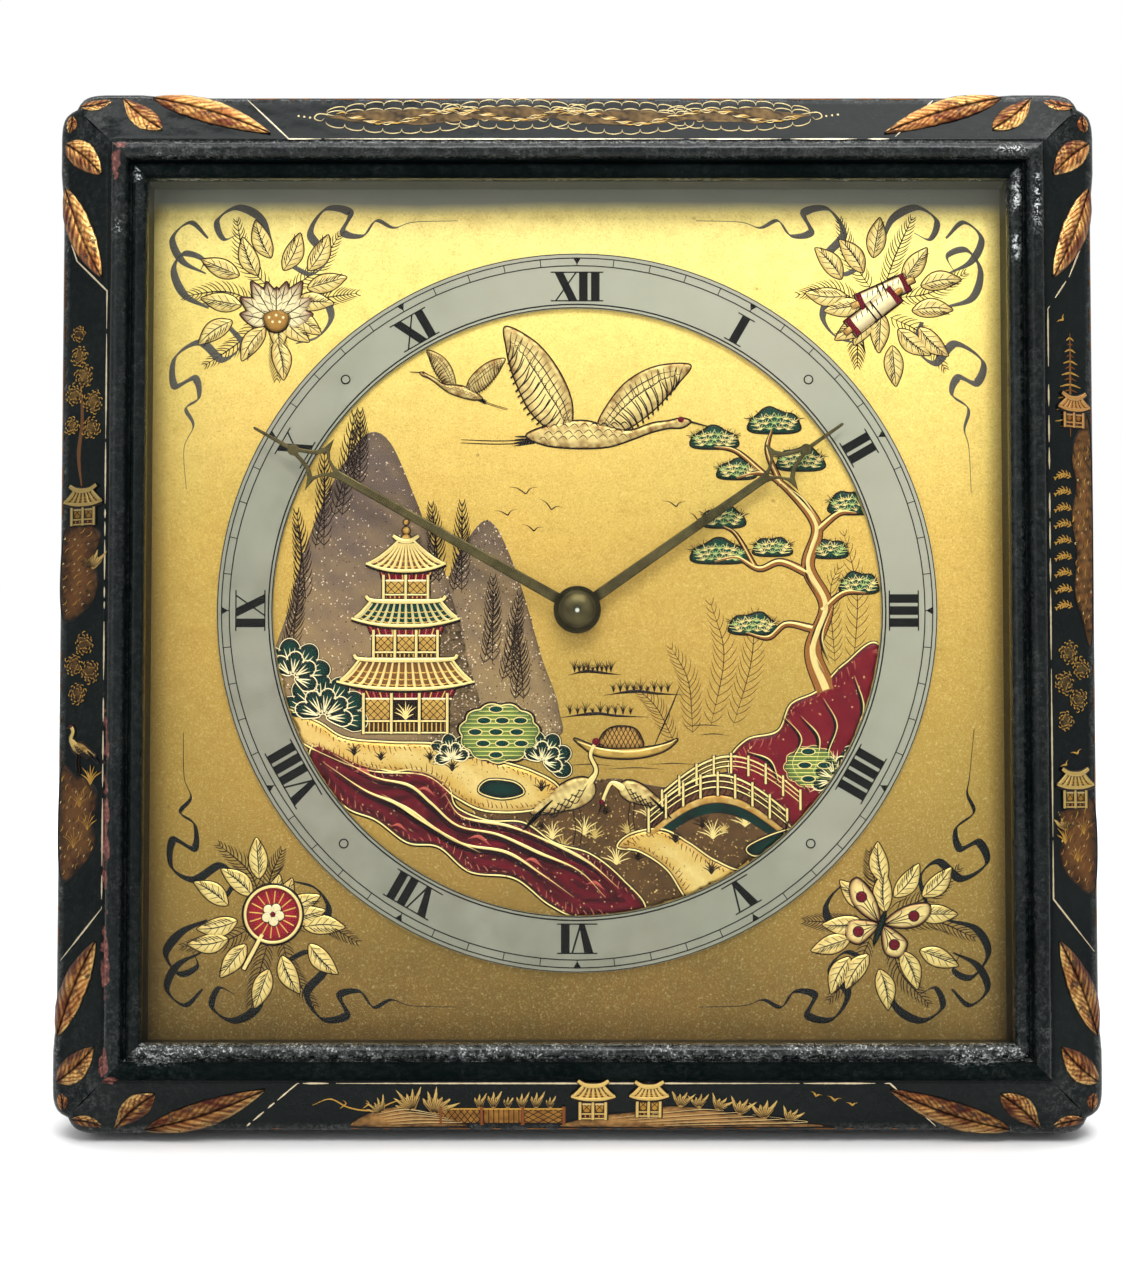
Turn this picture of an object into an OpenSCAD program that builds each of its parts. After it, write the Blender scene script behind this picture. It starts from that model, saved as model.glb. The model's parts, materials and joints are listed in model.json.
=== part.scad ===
// Square strut clock with a lacquered frame, a gilt dial and a folding rear strut.
// Millimetres. Local axes: X right, Z up the face, Y into the clock, origin at the
// dial centre on the rear plane of the frame. lean_back() then stands it on its foot.

/* [Frame] */
// outer width and height of the frame between its corner lobes
frame_size = 230; // [220:1:245]
// front width of a rail, from its outer edge to the sight edge
rail_w = 19.5; // [19:0.25:21]
// how far the corner lobes stand out beyond the rail
ear = 0.7; // [0.4:0.1:1.2]
// width of the sloping painted band, seen from the front
band_w = 11.3; // [10.5:0.1:12]
// depth of the outer wall of the frame, at the foot of the band
edge_depth = 13.6; // [12:0.2:15]
// depth of the painted band at its inner edge
band_top = 20.2; // [19:0.2:21]
// radius of the tall bead beside the painted band
bead_r = 1.9; // [1.6:0.1:2.1]
// how far the clock leans back when it stands, in degrees
lean = 12; // [9:0.5:15]

/* [Carved leaves] */
// greatest height of a carved leaf above the band
leaf_rise = 1.3; // [0.8:0.1:1.8]
// stations along each leaf
leaf_steps = 7; // [5:1:9]

/* [Glass and dial] */
// thickness of the glass
glass_t = 2; // [1.5:0.1:2.5]
// depth of the slips that hold the glass away from the dial
slip_depth = 8; // [7.6:0.2:9]
// thickness of the gilt dial plate
dial_t = 1.2; // [1:0.1:1.4]
// outer radius of the chapter ring
ring_r = 80.9; // [78:0.1:84]
// width of the chapter ring
ring_w = 12.5; // [11:0.1:14]
// thickness of the chapter ring
ring_t = 1.2; // [0.8:0.1:1.4]

/* [Hands] */
// length of the minute hand from the arbor to its tip
minute_len = 83.2; // [79:0.1:86]
// length of the hour hand from the arbor to its tip
hour_len = 73; // [69:0.1:76]
// width of the hand stems
stem_w = 2.1; // [1.6:0.1:2.6]
// minutes past twelve that the hands show at rest
shown_time = 109.9; // [60:0.1:719]

/* [Movement] */
// outer radius of the movement drum
drum_r = 31; // [30.6:0.2:32]
// how far the drum reaches behind the frame
drum_depth = 24; // [23.6:0.2:27]
// tooth module of the motion work
work_m = 0.4; // [0.38:0.01:0.4]
// tooth module of the spring barrel and its pinion
train_m = 0.4; // [0.38:0.01:0.4]
// running clearance of arbors in their holes, on the radius
run = 0.05; // [0.03:0.01:0.08]

/* [Back and strut] */
// thickness of the backboard
board_t = 4; // [3:0.5:5]
// thickness of the wooden strut
strut_t = 6; // [5:0.5:7]
// width of the strut at its pivot
strut_top_w = 96; // [92:1:104]
// width of the strut at its foot
strut_foot_w = 60; // [50:1:70]
// how far the open strut stands out from upright, in degrees
strut_out = 10.86; // [9:0.02:14]
// height of the pivot above the dial centre
pivot_z = 45; // [44.5:0.1:46]
// radius of the strut pivot pins
pin_r = 1.25; // [1:0.05:1.4]

/* [Output] */
// which node to draw

/* [Hidden] */
half = frame_size / 2;
lobe = half + ear;
sight = half - rail_w;
rebate = sight + 5.25;
crest_v = half - band_w - 0.4 - bead_r;
crest_y = band_top - 0.1 + bead_r;
lip_y = crest_y - 6;
slip_y = lip_y - glass_t;
dial_y = slip_y - slip_depth;
dial_back = dial_y - dial_t;
band_slope = (band_top - edge_depth) / band_w;
fit_gap = 0.3;
board_half = half - 8;
screw_v = (rebate + board_half) / 2;
screw_r = 1.3;
drum_wall = 1;
plate_r = drum_r - drum_wall - fit_gap;
plate_t = 1.5;
back_plate_y = drum_depth - 5;
flange_r = drum_r + 3.3;
strut_hole_r = flange_r + 0.9;
arbor_r = 0.95;
pipe_r = 1.55;
hour_pipe_r = 2.2;
hour_hand_y = -(dial_y + 3.6);
minute_hand_y = hour_hand_y - 1.3;
hand_t = 0.8;
boss_r = 5.3;
nut_r = 4;
cannon_teeth = 10;
minute_teeth = 30;
hour_pinion_teeth = 8;
hour_teeth = 32;
work_d = (cannon_teeth + minute_teeth) * work_m / 2;
stud_r = 0.7;
barrel_teeth = 60;
pinion_teeth = 12;
barrel_d = (barrel_teeth + pinion_teeth) * train_m / 2 + 0.05;
barrel_arbor_r = 1.8;
wheel_t = 0.9;
centre_wheel_y = back_plate_y - 3.4;
barrel_y = plate_t + 2.5;
barrel_wheel_t = 1.2;
barrel_r = (barrel_teeth / 2 - 2.5) * train_m;
barrel_back = centre_wheel_y - 1.4;
third_m = 0.3;
centre_teeth = 64;
third_pinion_teeth = 8;
third_wheel_y = plate_t + 7;
third_d = (centre_teeth + third_pinion_teeth) * third_m / 2 + 0.05;
pivot_pin_r = 0.6;
click_d = 7.4;
lever_d = plate_r - 15.7;
lever_len = 8;
pillar_r = plate_r - 3.7;
pillar_angles = [90, -35, 215];
lug_angles = [30, 150, 270];
minute_turn = shown_time * 6;
hour_turn = shown_time / 2;
pivot_y = board_t + fit_gap + strut_t / 2;
bracket_gap = 0.4;
bracket_t = 1.5;
bracket_plate_t = 1.2;
bracket_plate_w = 12;
bracket_plate_h = 16;
bracket_boss_r = pivot_y - board_t;
bracket_hole = [8, 5];
pin_in = 7;
pin_head_r = 2.1;
pin_head_t = 0.9;
strut_shoulder = 12;
ear_x = strut_top_w / 2 + bracket_gap;
foot_flat = 0.5;
lift = lobe * cos(lean) - foot_flat;
pivot_up = lift + pivot_z * cos(lean) - pivot_y * sin(lean);
pivot_back = pivot_y * cos(lean) + pivot_z * sin(lean);
strut_len = pivot_up / cos(strut_out);
open_angle = lean + strut_out;
foot_back = pivot_back + pivot_up * tan(strut_out) + strut_t / 2 / cos(strut_out);
front_reach = -crest_y * cos(lean) - crest_v * sin(lean);
centre_shift = -(foot_back + front_reach) / 2;

// Stands the clock on its lower lobes and its strut, with its middle over the origin.
module lean_back() {
    translate([0, centre_shift, lift])
        rotate([-lean, 0, 0])
            children();
}

// Removes what would lie below the floor.
module above_floor() {
    difference() {
        children();
        translate([0, 0, -50])
            cube([2 * frame_size, 2 * frame_size, 100], center = true);
    }
}

// A cylinder along Y from y0 to y1.
module rod(r, y0, y1, at = [0, 0], n = 48) {
    translate([at[0], y1, at[1]])
        rotate([90, 0, 0])
            cylinder(r = r, h = y1 - y0, $fn = n);
}

// Lifts a flat shape drawn in X and Z to the depths y0 to y1.
module slab(y0, y1) {
    translate([0, y1, 0])
        rotate([90, 0, 0])
            linear_extrude(height = y1 - y0)
                children();
}

// A point at a radius and an angle.
function polar(r, a) = [r * cos(a), r * sin(a)];

// ---- frame

function band_y(v) = -(edge_depth + (half - v) * band_slope);

function bead(v, y, rx, ry, n) =
    [for (i = [0:n]) [v + rx * cos(180 * i / n), y - ry * sin(180 * i / n)]];

// Section of a rail: distance from the dial centre against depth.
function rail_section() = concat(
    [[lobe, 0], [lobe, band_y(lobe)]],
    [[half - band_w, -band_top], [half - band_w - 0.2, -band_top + 0.6]],
    bead(crest_v, -crest_y + bead_r, bead_r, bead_r, 8),
    [[crest_v - bead_r - 0.2, -crest_y + bead_r + 1.5]],
    bead((crest_v - bead_r - 0.45 + sight + 0.2) / 2, -lip_y - 2,
        (crest_v - bead_r - 0.65 - sight) / 2, 1.7, 7),
    [[sight, -lip_y - 1.6], [sight, -lip_y], [rebate, -lip_y], [rebate, 0]]);

// Half of the rounded lobe at a rail end, measured inwards from the sharp corner.
lobe_curve = [[3.5, 3.5], [4.1, 2.2], [4.9, 1.2], [6.1, 0.5], [7.8, 0.12], [10, 0],
    [18, 0], [21, ear * 0.35], [24, ear * 0.8], [27, ear]];

function rail_outline() =
    let (n = len(lobe_curve))
    concat(
        [[-(sight - 1), sight - 1]],
        [for (p = lobe_curve) [p[0] - lobe, lobe - p[1]]],
        [for (i = [n - 1:-1:0]) [lobe - lobe_curve[i][0], lobe - lobe_curve[i][1]]],
        [[sight - 1, sight - 1]]);

// One mitred rail in the top position, with the pilot holes of its two board screws.
module rail() {
    difference() {
        intersection() {
            rotate([0, -90, 0])
                linear_extrude(height = 2 * lobe + 2, center = true)
                    polygon(rail_section());
            slab(-crest_y - 2, 2)
                polygon(rail_outline());
        }
        for (side = [-1, 1])
            rod(screw_r + 0.02, -8.3, 1, [side * half * 0.52, screw_v], 24);
    }
}

module rail_at(k) {
    color("#141a1c")
        above_floor()
            lean_back()
                rotate([0, 90 * k, 0])
                    rail();
}

module frame_top_rail() rail_at(0);
module frame_right_rail() rail_at(1);
module frame_bottom_rail() rail_at(2);
module frame_left_rail() rail_at(3);

// ---- carved leaves

// Each leaf: start and end as [along the rail, in from the edge] from the sharp corner,
// then width, sideways bend, and where along its length it is widest.
long_rail_leaves = [
    [[4.6, 3.3], [11.8, 1.5], 2.6, 0.4, 0.9],
    [[13.6, 0.9], [22.2, 8.1], 5.0, 0.6, 1.35],
    [[20.4, 0.9], [47.5, 9.2], 5.2, -0.9, 0.85]];
side_rail_leaves = [
    [[5.2, 2.7], [9.2, 1.9], 2.6, 0.3, 1],
    [[11.4, 1.2], [18.8, 9.6], 5.2, 0.5, 0.8],
    [[21.8, 1.3], [41, 9.4], 4.8, -0.8, 0.95]];
leaf_ridge = [0, 0.9, 0.6, 0.9, 0];

function leaf_points(leaf) =
    let (
        a = leaf[0], b = leaf[1],
        dir = (b - a) / norm(b - a),
        side = [-dir[1], dir[0]])
    [for (i = [0:leaf_steps], j = [0:4])
        let (
            u = i / leaf_steps,
            bulge = sin(180 * pow(u, leaf[4])),
            half_w = leaf[2] / 2 * pow(max(bulge, 0), 0.75) + 0.15,
            rise = leaf_rise * leaf[2] / 5.2 * (0.3 + 0.7 * bulge) * leaf_ridge[j],
            p = a + (b - a) * u + side * (leaf[3] * sin(180 * u) + half_w * (j - 2) / 2),
            v = lobe - p[1])
        [p[0] - lobe, band_y(v) - rise, v]];

function leaf_faces(n) = concat(
    [for (i = [0:n - 1], j = [0:3]) [i * 5 + j, i * 5 + j + 5, i * 5 + j + 6]],
    [for (i = [0:n - 1], j = [0:3]) [i * 5 + j, i * 5 + j + 6, i * 5 + j + 1]],
    [for (i = [0:n - 1]) [i * 5, i * 5 + 4, i * 5 + 9]],
    [for (i = [0:n - 1]) [i * 5, i * 5 + 9, i * 5 + 5]],
    [[0, 1, 2], [0, 2, 4], [2, 3, 4]],
    [[n * 5 + 2, n * 5 + 1, n * 5], [n * 5 + 4, n * 5 + 2, n * 5],
        [n * 5 + 4, n * 5 + 3, n * 5 + 2]]);

module leaf_set(leaves) {
    for (leaf = leaves)
        polyhedron(points = leaf_points(leaf), faces = leaf_faces(leaf_steps));
}

// The leaves of one corner: on the horizontal rail k and on the upright rail m.
module corner(k, flip_k, m, flip_m) {
    color("#b5713a")
        lean_back() {
            rotate([0, 90 * k, 0])
                mirror([flip_k, 0, 0])
                    leaf_set(long_rail_leaves);
            rotate([0, 90 * m, 0])
                mirror([flip_m, 0, 0])
                    leaf_set(side_rail_leaves);
        }
}

module leaves_top_left() corner(0, 0, 3, 1);
module leaves_top_right() corner(0, 1, 1, 0);
module leaves_bottom_left() corner(2, 1, 3, 0);
module leaves_bottom_right() corner(2, 0, 1, 1);

// ---- glass and dial

module square_at(r) square(2 * r, center = true);

module square_ring(outer, inner, y0, y1) {
    slab(y0, y1)
        difference() {
            square_at(outer);
            square_at(inner);
        }
}

module glass() {
    color("#dfe8e6", 0.3)
        lean_back()
            slab(-lip_y, -slip_y)
                square_at(rebate - fit_gap);
}

module glass_slips() {
    color("#20241f")
        lean_back()
            square_ring(rebate - fit_gap, sight + fit_gap, -slip_y, -dial_y);
}

module pin_holes(y0, y1, r) {
    for (a = [45:90:315])
        rod(r, y0, y1, polar(ring_r - ring_w * 0.57, a), 20);
}

module dial_plate() {
    color("#c9a545")
        lean_back()
            difference() {
                slab(-dial_y, -dial_back)
                    square_at(rebate - fit_gap);
                rod(hour_pipe_r + 0.5, -dial_y - 1, -dial_back + 1);
                pin_holes(-dial_y - 1, -dial_back + 1, 0.5);
            }
}

module chapter_ring() {
    color("#a7a899")
        lean_back()
            difference() {
                rod(ring_r, -dial_y - ring_t, -dial_y, n = 120);
                rod(ring_r - ring_w, -dial_y - ring_t - 1, -dial_y + 1, n = 120);
                pin_holes(-dial_y - ring_t - 1, -dial_y + 1, 0.5);
            }
}

module ring_pins() {
    color("#b9b9a8")
        lean_back() {
            pin_holes(-dial_y - ring_t, -dial_back + 0.8, 0.45);
            pin_holes(-dial_y - ring_t - 0.35, -dial_y - ring_t, 0.8);
        }
}

module dial_fillets() {
    color("#4d3a26")
        lean_back()
            square_ring(rebate - fit_gap, rebate - 4.75, -dial_back, 0);
}

// ---- back

board_screws_at = [for (k = [0:3], side = [-1, 1])
    let (a = 90 * k, x = side * half * 0.52, z = screw_v)
    [x * cos(a) + z * sin(a), z * cos(a) - x * sin(a)]];

module backboard() {
    color("#15191a")
        lean_back()
            difference() {
                slab(0, board_t)
                    square_at(board_half);
                rod(drum_r + 0.5, -1, board_t + 1, n = 96);
                for (p = board_screws_at) {
                    rod(screw_r + 0.02, -1, board_t + 1, p, 24);
                    rod(2 * screw_r + 0.02, board_t - 1.4, board_t + 1, p, 24);
                }
            }
}

module board_screws() {
    color("#8a8468")
        lean_back()
            for (p = board_screws_at) {
                rod(screw_r, -8, board_t, p, 24);
                rod(2 * screw_r, board_t - 1.4, board_t, p, 24);
            }
}

module flange_holes(y0, y1, r) {
    for (a = [45:90:315])
        rod(r, y0, y1, polar(drum_r + 1.9, a), 20);
}

module drum_case() {
    color("#b08d3c")
        lean_back()
            difference() {
                union() {
                    rod(drum_r, -dial_back + fit_gap, drum_depth, n = 96);
                    rod(flange_r, board_t, board_t + 1.2, n = 96);
                }
                rod(drum_r - drum_wall, -dial_back - 1, back_plate_y + 1.9, n = 96);
                difference() {
                    rod(drum_r - drum_wall, back_plate_y + 1, drum_depth + 1, n = 96);
                    for (a = lug_angles)
                        rod(2.4, back_plate_y + 1.9, drum_depth + 2,
                            polar(drum_r - 2.9, a), 24);
                }
                for (a = lug_angles)
                    rod(0.65, back_plate_y + 1.2, drum_depth + 1, polar(drum_r - 2.9, a), 20);
                flange_holes(board_t - 1, board_t + 3, 0.65);
            }
}

// Slot in the cover that the regulator lever's pin moves in.
module lever_slot() {
    reach = lever_len + 4;
    translate([0, lever_d])
        difference() {
            intersection() {
                circle(r = lever_len + 1, $fn = 48);
                polygon([[0, 0], reach * [sin(-24), cos(24)], reach * [sin(24), cos(24)]]);
            }
            circle(r = lever_len - 1, $fn = 48);
        }
}

module drum_cover() {
    color("#b8963f")
        lean_back()
            difference() {
                rod(drum_r, drum_depth, drum_depth + 1.2, n = 96);
                rod(1.5, drum_depth - 1, drum_depth + 3);
                rod(barrel_arbor_r + fit_gap, drum_depth - 1, drum_depth + 3, [0, -barrel_d]);
                slab(drum_depth - 1, drum_depth + 3)
                    lever_slot();
                for (a = lug_angles)
                    rod(0.65, drum_depth - 1, drum_depth + 3, polar(drum_r - 2.9, a), 20);
            }
}

module flange_screws() {
    color("#8f8a78")
        lean_back() {
            flange_holes(board_t + 1.2, board_t + 1.9, 1.2);
            flange_holes(board_t, board_t + 1.2, 0.6);
        }
}

module cover_screws() {
    color("#8f8a78")
        lean_back()
            for (a = lug_angles) {
                rod(1.5, drum_depth + 1.2, drum_depth + 2, polar(drum_r - 2.9, a), 24);
                rod(0.6, drum_depth - 2.4, drum_depth + 1.2, polar(drum_r - 2.9, a), 20);
            }
}

// ---- movement

// A wheel with straight-sided teeth and a tooth pointing along angle a.
module wheel(teeth, m, a) {
    tip = teeth * m / 2 + 0.8 * m;
    root = teeth * m / 2 - 1.15 * m;
    step = 360 / teeth;
    polygon([for (k = [0:teeth - 1], q = [[root, -0.3], [tip, -0.12], [tip, 0.12], [root, 0.3]])
        polar(q[0], a + (k + q[1]) * step)]);
}

// The same, with a gap between two teeth pointing along angle a.
module wheel_gap(teeth, m, a) {
    wheel(teeth, m, a + 180 / teeth);
}

module front_plate() {
    color("#b7933e")
        lean_back()
            difference() {
                rod(plate_r, 0, plate_t, n = 96);
                rod(arbor_r + run, -1, plate_t + 1);
                rod(pivot_pin_r + run, -1, plate_t + 1, [0, -barrel_d], 24);
                rod(pivot_pin_r + run, -1, plate_t + 1, [0, third_d], 24);
            }
}

module back_plate() {
    color("#b7933e")
        lean_back()
            difference() {
                rod(plate_r, back_plate_y, back_plate_y + plate_t, n = 96);
                rod(1.25 + run, back_plate_y - 1, back_plate_y + 3);
                rod(barrel_arbor_r + run, back_plate_y - 1, back_plate_y + 3, [0, -barrel_d]);
                rod(pivot_pin_r + run, back_plate_y - 1, back_plate_y + 3, [0, third_d], 24);
            }
}

module pillars() {
    color("#c2a04a")
        lean_back()
            for (a = pillar_angles)
                rod(2.2, plate_t, back_plate_y, polar(pillar_r, a), 24);
}

module plate_screws() {
    color("#6d7076")
        lean_back()
            for (a = pillar_angles)
                rod(1.6, back_plate_y + plate_t, back_plate_y + plate_t + 0.9,
                    polar(pillar_r, a), 24);
}

module minute_stud() {
    color("#6d7076")
        lean_back()
            rod(stud_r, -dial_back + 0.9, 0, [-work_d, 0], 24);
}

module centre_arbor() {
    color("#9a9a92")
        lean_back() {
            rod(arbor_r, minute_hand_y - hand_t - 1.9, plate_t + 1);
            rod(1.25, plate_t + 0.5, drum_depth + 7.6);
            slab(barrel_y - 1, barrel_y + barrel_wheel_t + 1.2)
                wheel(pinion_teeth, train_m, -90);
        }
}

module centre_wheel() {
    color("#c2a04a")
        lean_back()
            slab(centre_wheel_y, centre_wheel_y + wheel_t)
                difference() {
                    wheel(centre_teeth, third_m, 90);
                    circle(r = 1.25, $fn = 32);
                }
}

module cannon_pinion() {
    color("#9a9a92")
        lean_back()
            difference() {
                union() {
                    rod(pipe_r, minute_hand_y - hand_t - 0.1, -0.4);
                    slab(-1.5, -0.4)
                        wheel(cannon_teeth, work_m, 180);
                }
                rod(arbor_r, minute_hand_y - 3, 1);
            }
}

module minute_wheel() {
    color("#c2a04a")
        lean_back()
            translate([-work_d, 0, 0])
                difference() {
                    union() {
                        slab(-1.4, -0.5)
                            wheel_gap(minute_teeth, work_m, 0);
                        slab(-2.9, -1.4)
                            wheel(hour_pinion_teeth, work_m, 0);
                    }
                    rod(stud_r + run, -5, 1, [0, 0], 24);
                }
}

module hour_wheel() {
    color("#c2a04a")
        lean_back()
            difference() {
                union() {
                    rod(hour_pipe_r, hour_hand_y - hand_t - 0.1, -1.8);
                    slab(-2.7, -1.8)
                        wheel_gap(hour_teeth, work_m, 180);
                }
                rod(pipe_r + run, -20, 1);
            }
}

module barrel() {
    color("#c2a04a")
        lean_back()
            translate([0, 0, -barrel_d])
                difference() {
                    union() {
                        slab(barrel_y, barrel_y + barrel_wheel_t)
                            wheel_gap(barrel_teeth, train_m, 90);
                        rod(barrel_r, barrel_y + barrel_wheel_t, barrel_back, n = 64);
                    }
                    rod(barrel_arbor_r + run, barrel_y - 1, barrel_back + 1);
                }
}

module barrel_arbor() {
    color("#9a9a92")
        lean_back() {
            rod(barrel_arbor_r, plate_t + fit_gap, drum_depth + 2.6, [0, -barrel_d]);
            rod(pivot_pin_r, 0, plate_t + fit_gap, [0, -barrel_d], 24);
        }
}

module ratchet_wheel() {
    color("#8d8f93")
        lean_back()
            translate([0, 0, -barrel_d])
                slab(back_plate_y + plate_t + 0.2, back_plate_y + plate_t + 1.4)
                    difference() {
                        polygon([for (k = [0:23], q = [[4.7, 0], [5.6, 0.12], [4.9, 0.85]])
                            polar(q[0], (k + q[1]) * 15)]);
                        circle(r = barrel_arbor_r, $fn = 32);
                    }
}

module click() {
    color("#8d8f93")
        lean_back()
            translate([click_d, 0, 2.2 - barrel_d]) {
                slab(back_plate_y + plate_t + 0.2, back_plate_y + plate_t + 1.4)
                    polygon([[-1.6, -1.9], [-1.05, -2.4], [1.1, -1], [1.5, 0.6], [0.4, 1.5],
                        [-0.9, 1.1], [-1.1, -0.2]]);
                rod(0.6, back_plate_y + plate_t, back_plate_y + plate_t + 0.2, n = 20);
            }
}

module third_wheel() {
    color("#c2a04a")
        lean_back()
            translate([0, 0, third_d]) {
                slab(centre_wheel_y - 0.4, centre_wheel_y + wheel_t + 0.4)
                    wheel_gap(third_pinion_teeth, third_m, -90);
                slab(third_wheel_y, third_wheel_y + 0.8)
                    wheel(48, third_m, 0);
                rod(0.8, plate_t + fit_gap, back_plate_y - fit_gap, n = 32);
                rod(pivot_pin_r, 0, back_plate_y + plate_t, n = 24);
            }
}

module set_knob() {
    color("#b7933e")
        lean_back()
            slab(drum_depth + 2.4, drum_depth + 8)
                difference() {
                    polygon([for (k = [0:35]) polar(4.5 - 0.25 * (k % 2), k * 10)]);
                    circle(r = 1.25, $fn = 32);
                }
}

// Butterfly key, screwed on the end of the barrel arbor.
module winding_key() {
    color("#b7933e")
        lean_back()
            translate([0, drum_depth + 2.6, -barrel_d]) {
                rod(2.5, 0, 4.6, n = 32);
                translate([0, 0, -0.8])
                    linear_extrude(height = 1.6)
                        difference() {
                            union() {
                                translate([0, 6])
                                    square([7, 3], center = true);
                                for (side = [-1, 1])
                                    translate([side * 5, 7])
                                        circle(r = 3.6, $fn = 32);
                            }
                            for (side = [-1, 1])
                                translate([side * 5.2, 7.2])
                                    circle(r = 1.7, $fn = 24);
                        }
            }
}

module lever_stud() {
    color("#8d8f93")
        lean_back()
            rod(0.8, back_plate_y + plate_t, back_plate_y + plate_t + 2, [0, lever_d], 24);
}

module regulator_lever() {
    color("#8d8f93")
        lean_back()
            translate([0, 0, lever_d]) {
                slab(back_plate_y + plate_t + 0.5, back_plate_y + plate_t + 1.3)
                    difference() {
                        union() {
                            circle(r = 2, $fn = 32);
                            translate([-0.7, 0])
                                square([1.4, lever_len]);
                            translate([0, lever_len])
                                circle(r = 0.7, $fn = 24);
                        }
                        circle(r = 0.8 + run, $fn = 24);
                    }
                rod(0.6, back_plate_y + plate_t + 1.2, drum_depth + 3, [0, lever_len], 24);
            }
}

// ---- hands

// Outline of the pierced head: distance along the hand and half width, one side.
head_outer = [[0, 1.05], [1.6, 1.35], [3.1, 2.2], [4.0, 3.6], [4.4, 5.3], [4.6, 6.6],
    [5.1, 5.2], [5.6, 3.8], [6.9, 2.4], [9, 1.5], [11.4, 0.75]];
head_len = 21.7;
head_inner = [[1.3, 0.15], [2.6, 1.1], [3.7, 2.1], [4.7, 3.1], [6.3, 1.6], [8.4, 0.75],
    [10.3, 0.12]];

function both_sides(p, at) = concat(
    [for (q = p) [q[1], at + q[0]]],
    [for (i = [len(p) - 1:-1:0]) [-p[i][1], at + p[i][0]]]);

// A hand pointing to twelve: boss, stem, pierced head, disc and tip.
module hand_outline(length, disc) {
    split = length - head_len;
    difference() {
        union() {
            circle(r = boss_r, $fn = 64);
            translate([-stem_w / 2, 0])
                square([stem_w, split + 0.6]);
            polygon(both_sides(head_outer, split));
            translate([0, split + 11.4])
                circle(r = 1.3, $fn = 32);
            polygon([[-0.55, split + 11.4], [0.55, split + 11.4], [0.3, length],
                [-0.3, length]]);
        }
        polygon(both_sides(head_inner, split));
        circle(r = disc, $fn = 48);
    }
}

module hour_hand() {
    color("#58523a")
        lean_back()
            rotate([0, hour_turn, 0])
                slab(hour_hand_y - hand_t, hour_hand_y)
                    hand_outline(hour_len, hour_pipe_r + 0.02);
}

module minute_hand() {
    color("#58523a")
        lean_back()
            rotate([0, minute_turn, 0])
                slab(minute_hand_y - hand_t, minute_hand_y)
                    hand_outline(minute_len, pipe_r + 0.02);
}

// Domed nut on the end of the centre arbor.
module hand_nut() {
    color("#5e5840")
        lean_back()
            translate([0, minute_hand_y - hand_t - 0.1, 0])
                rotate([90, 0, 0])
                    rotate_extrude($fn = 48)
                        polygon([[arbor_r, 0], [nut_r, 0], [nut_r, 0.5], [nut_r - 0.5, 0.95],
                            [nut_r - 1.4, 1.4], [1.6, 1.65], [arbor_r, 1.7]]);
}

// ---- strut

function strut_side(z) = z > -strut_shoulder ? strut_top_w / 2 :
    strut_top_w / 2 + (strut_foot_w - strut_top_w) / 2 * (z + strut_shoulder)
    / (strut_shoulder - strut_len);

module strut() {
    bottom = strut_len + 5;
    color("#171b1c")
        above_floor()
            lean_back()
                difference() {
                    translate([0, pivot_y, pivot_z])
                        rotate([open_angle, 0, 0])
                            difference() {
                                slab(-strut_t / 2, strut_t / 2)
                                    polygon([[-strut_top_w / 2 + 3, 8], [strut_top_w / 2 - 3, 8],
                                        [strut_top_w / 2, 5],
                                        [strut_top_w / 2, -strut_shoulder],
                                        [strut_side(-bottom), -bottom],
                                        [-strut_side(-bottom), -bottom],
                                        [-strut_top_w / 2, -strut_shoulder],
                                        [-strut_top_w / 2, 5]]);
                                rod(strut_hole_r, -strut_t, strut_t, [0, -pivot_z], 96);
                                for (side = [-1, 1])
                                    translate([side * strut_top_w / 2, 0, 0])
                                        rotate([0, 90, 0])
                                            cylinder(r = pin_r + run, h = 2 * pin_in + 3,
                                                center = true,
                                                $fn = 32);
                            }
                    translate([0, board_t + fit_gap - 10, pivot_z])
                        cube([frame_size, 20, 40], center = true);
                }
}

function bracket_hole_at(side, up) =
    [side * (ear_x + bracket_hole[0]), pivot_z + up * bracket_hole[1]];

module strut_brackets() {
    color("#b7933e")
        lean_back()
            for (side = [-1, 1])
                difference() {
                    translate([side * ear_x, 0, pivot_z])
                        mirror([side < 0 ? 1 : 0, 0, 0])
                            union() {
                                translate([0, board_t, -bracket_plate_h / 2])
                                    cube([bracket_plate_w, bracket_plate_t, bracket_plate_h]);
                                translate([0, board_t, -bracket_boss_r])
                                    cube([bracket_t, pivot_y - board_t, 2 * bracket_boss_r]);
                                translate([0, pivot_y, 0])
                                    rotate([0, 90, 0])
                                        cylinder(r = bracket_boss_r, h = bracket_t, $fn = 48);
                            }
                    translate([side * ear_x, pivot_y, pivot_z])
                        rotate([0, 90, 0])
                            cylinder(r = pin_r, h = 8, center = true, $fn = 32);
                    for (up = [-1, 1])
                        rod(0.9, board_t - 1, board_t + 3, bracket_hole_at(side, up), 20);
                }
}

module strut_pins() {
    color("#9a9a92")
        lean_back()
            for (side = [-1, 1])
                translate([side * ear_x, pivot_y, pivot_z])
                    mirror([side < 0 ? 1 : 0, 0, 0])
                        rotate([0, 90, 0]) {
                            translate([0, 0, -pin_in - bracket_gap])
                                cylinder(r = pin_r, h = pin_in + bracket_gap + bracket_t, $fn = 32);
                            translate([0, 0, bracket_t])
                                cylinder(r = pin_head_r, h = pin_head_t, $fn = 32);
                        }
}

module bracket_screws() {
    color("#8f8a78")
        lean_back()
            for (side = [-1, 1], up = [-1, 1]) {
                rod(0.85, board_t, board_t + bracket_plate_t, bracket_hole_at(side, up), 20);
                rod(1.7, board_t + bracket_plate_t, board_t + bracket_plate_t + 0.9,
                    bracket_hole_at(side, up), 24);
            }
}

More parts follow.
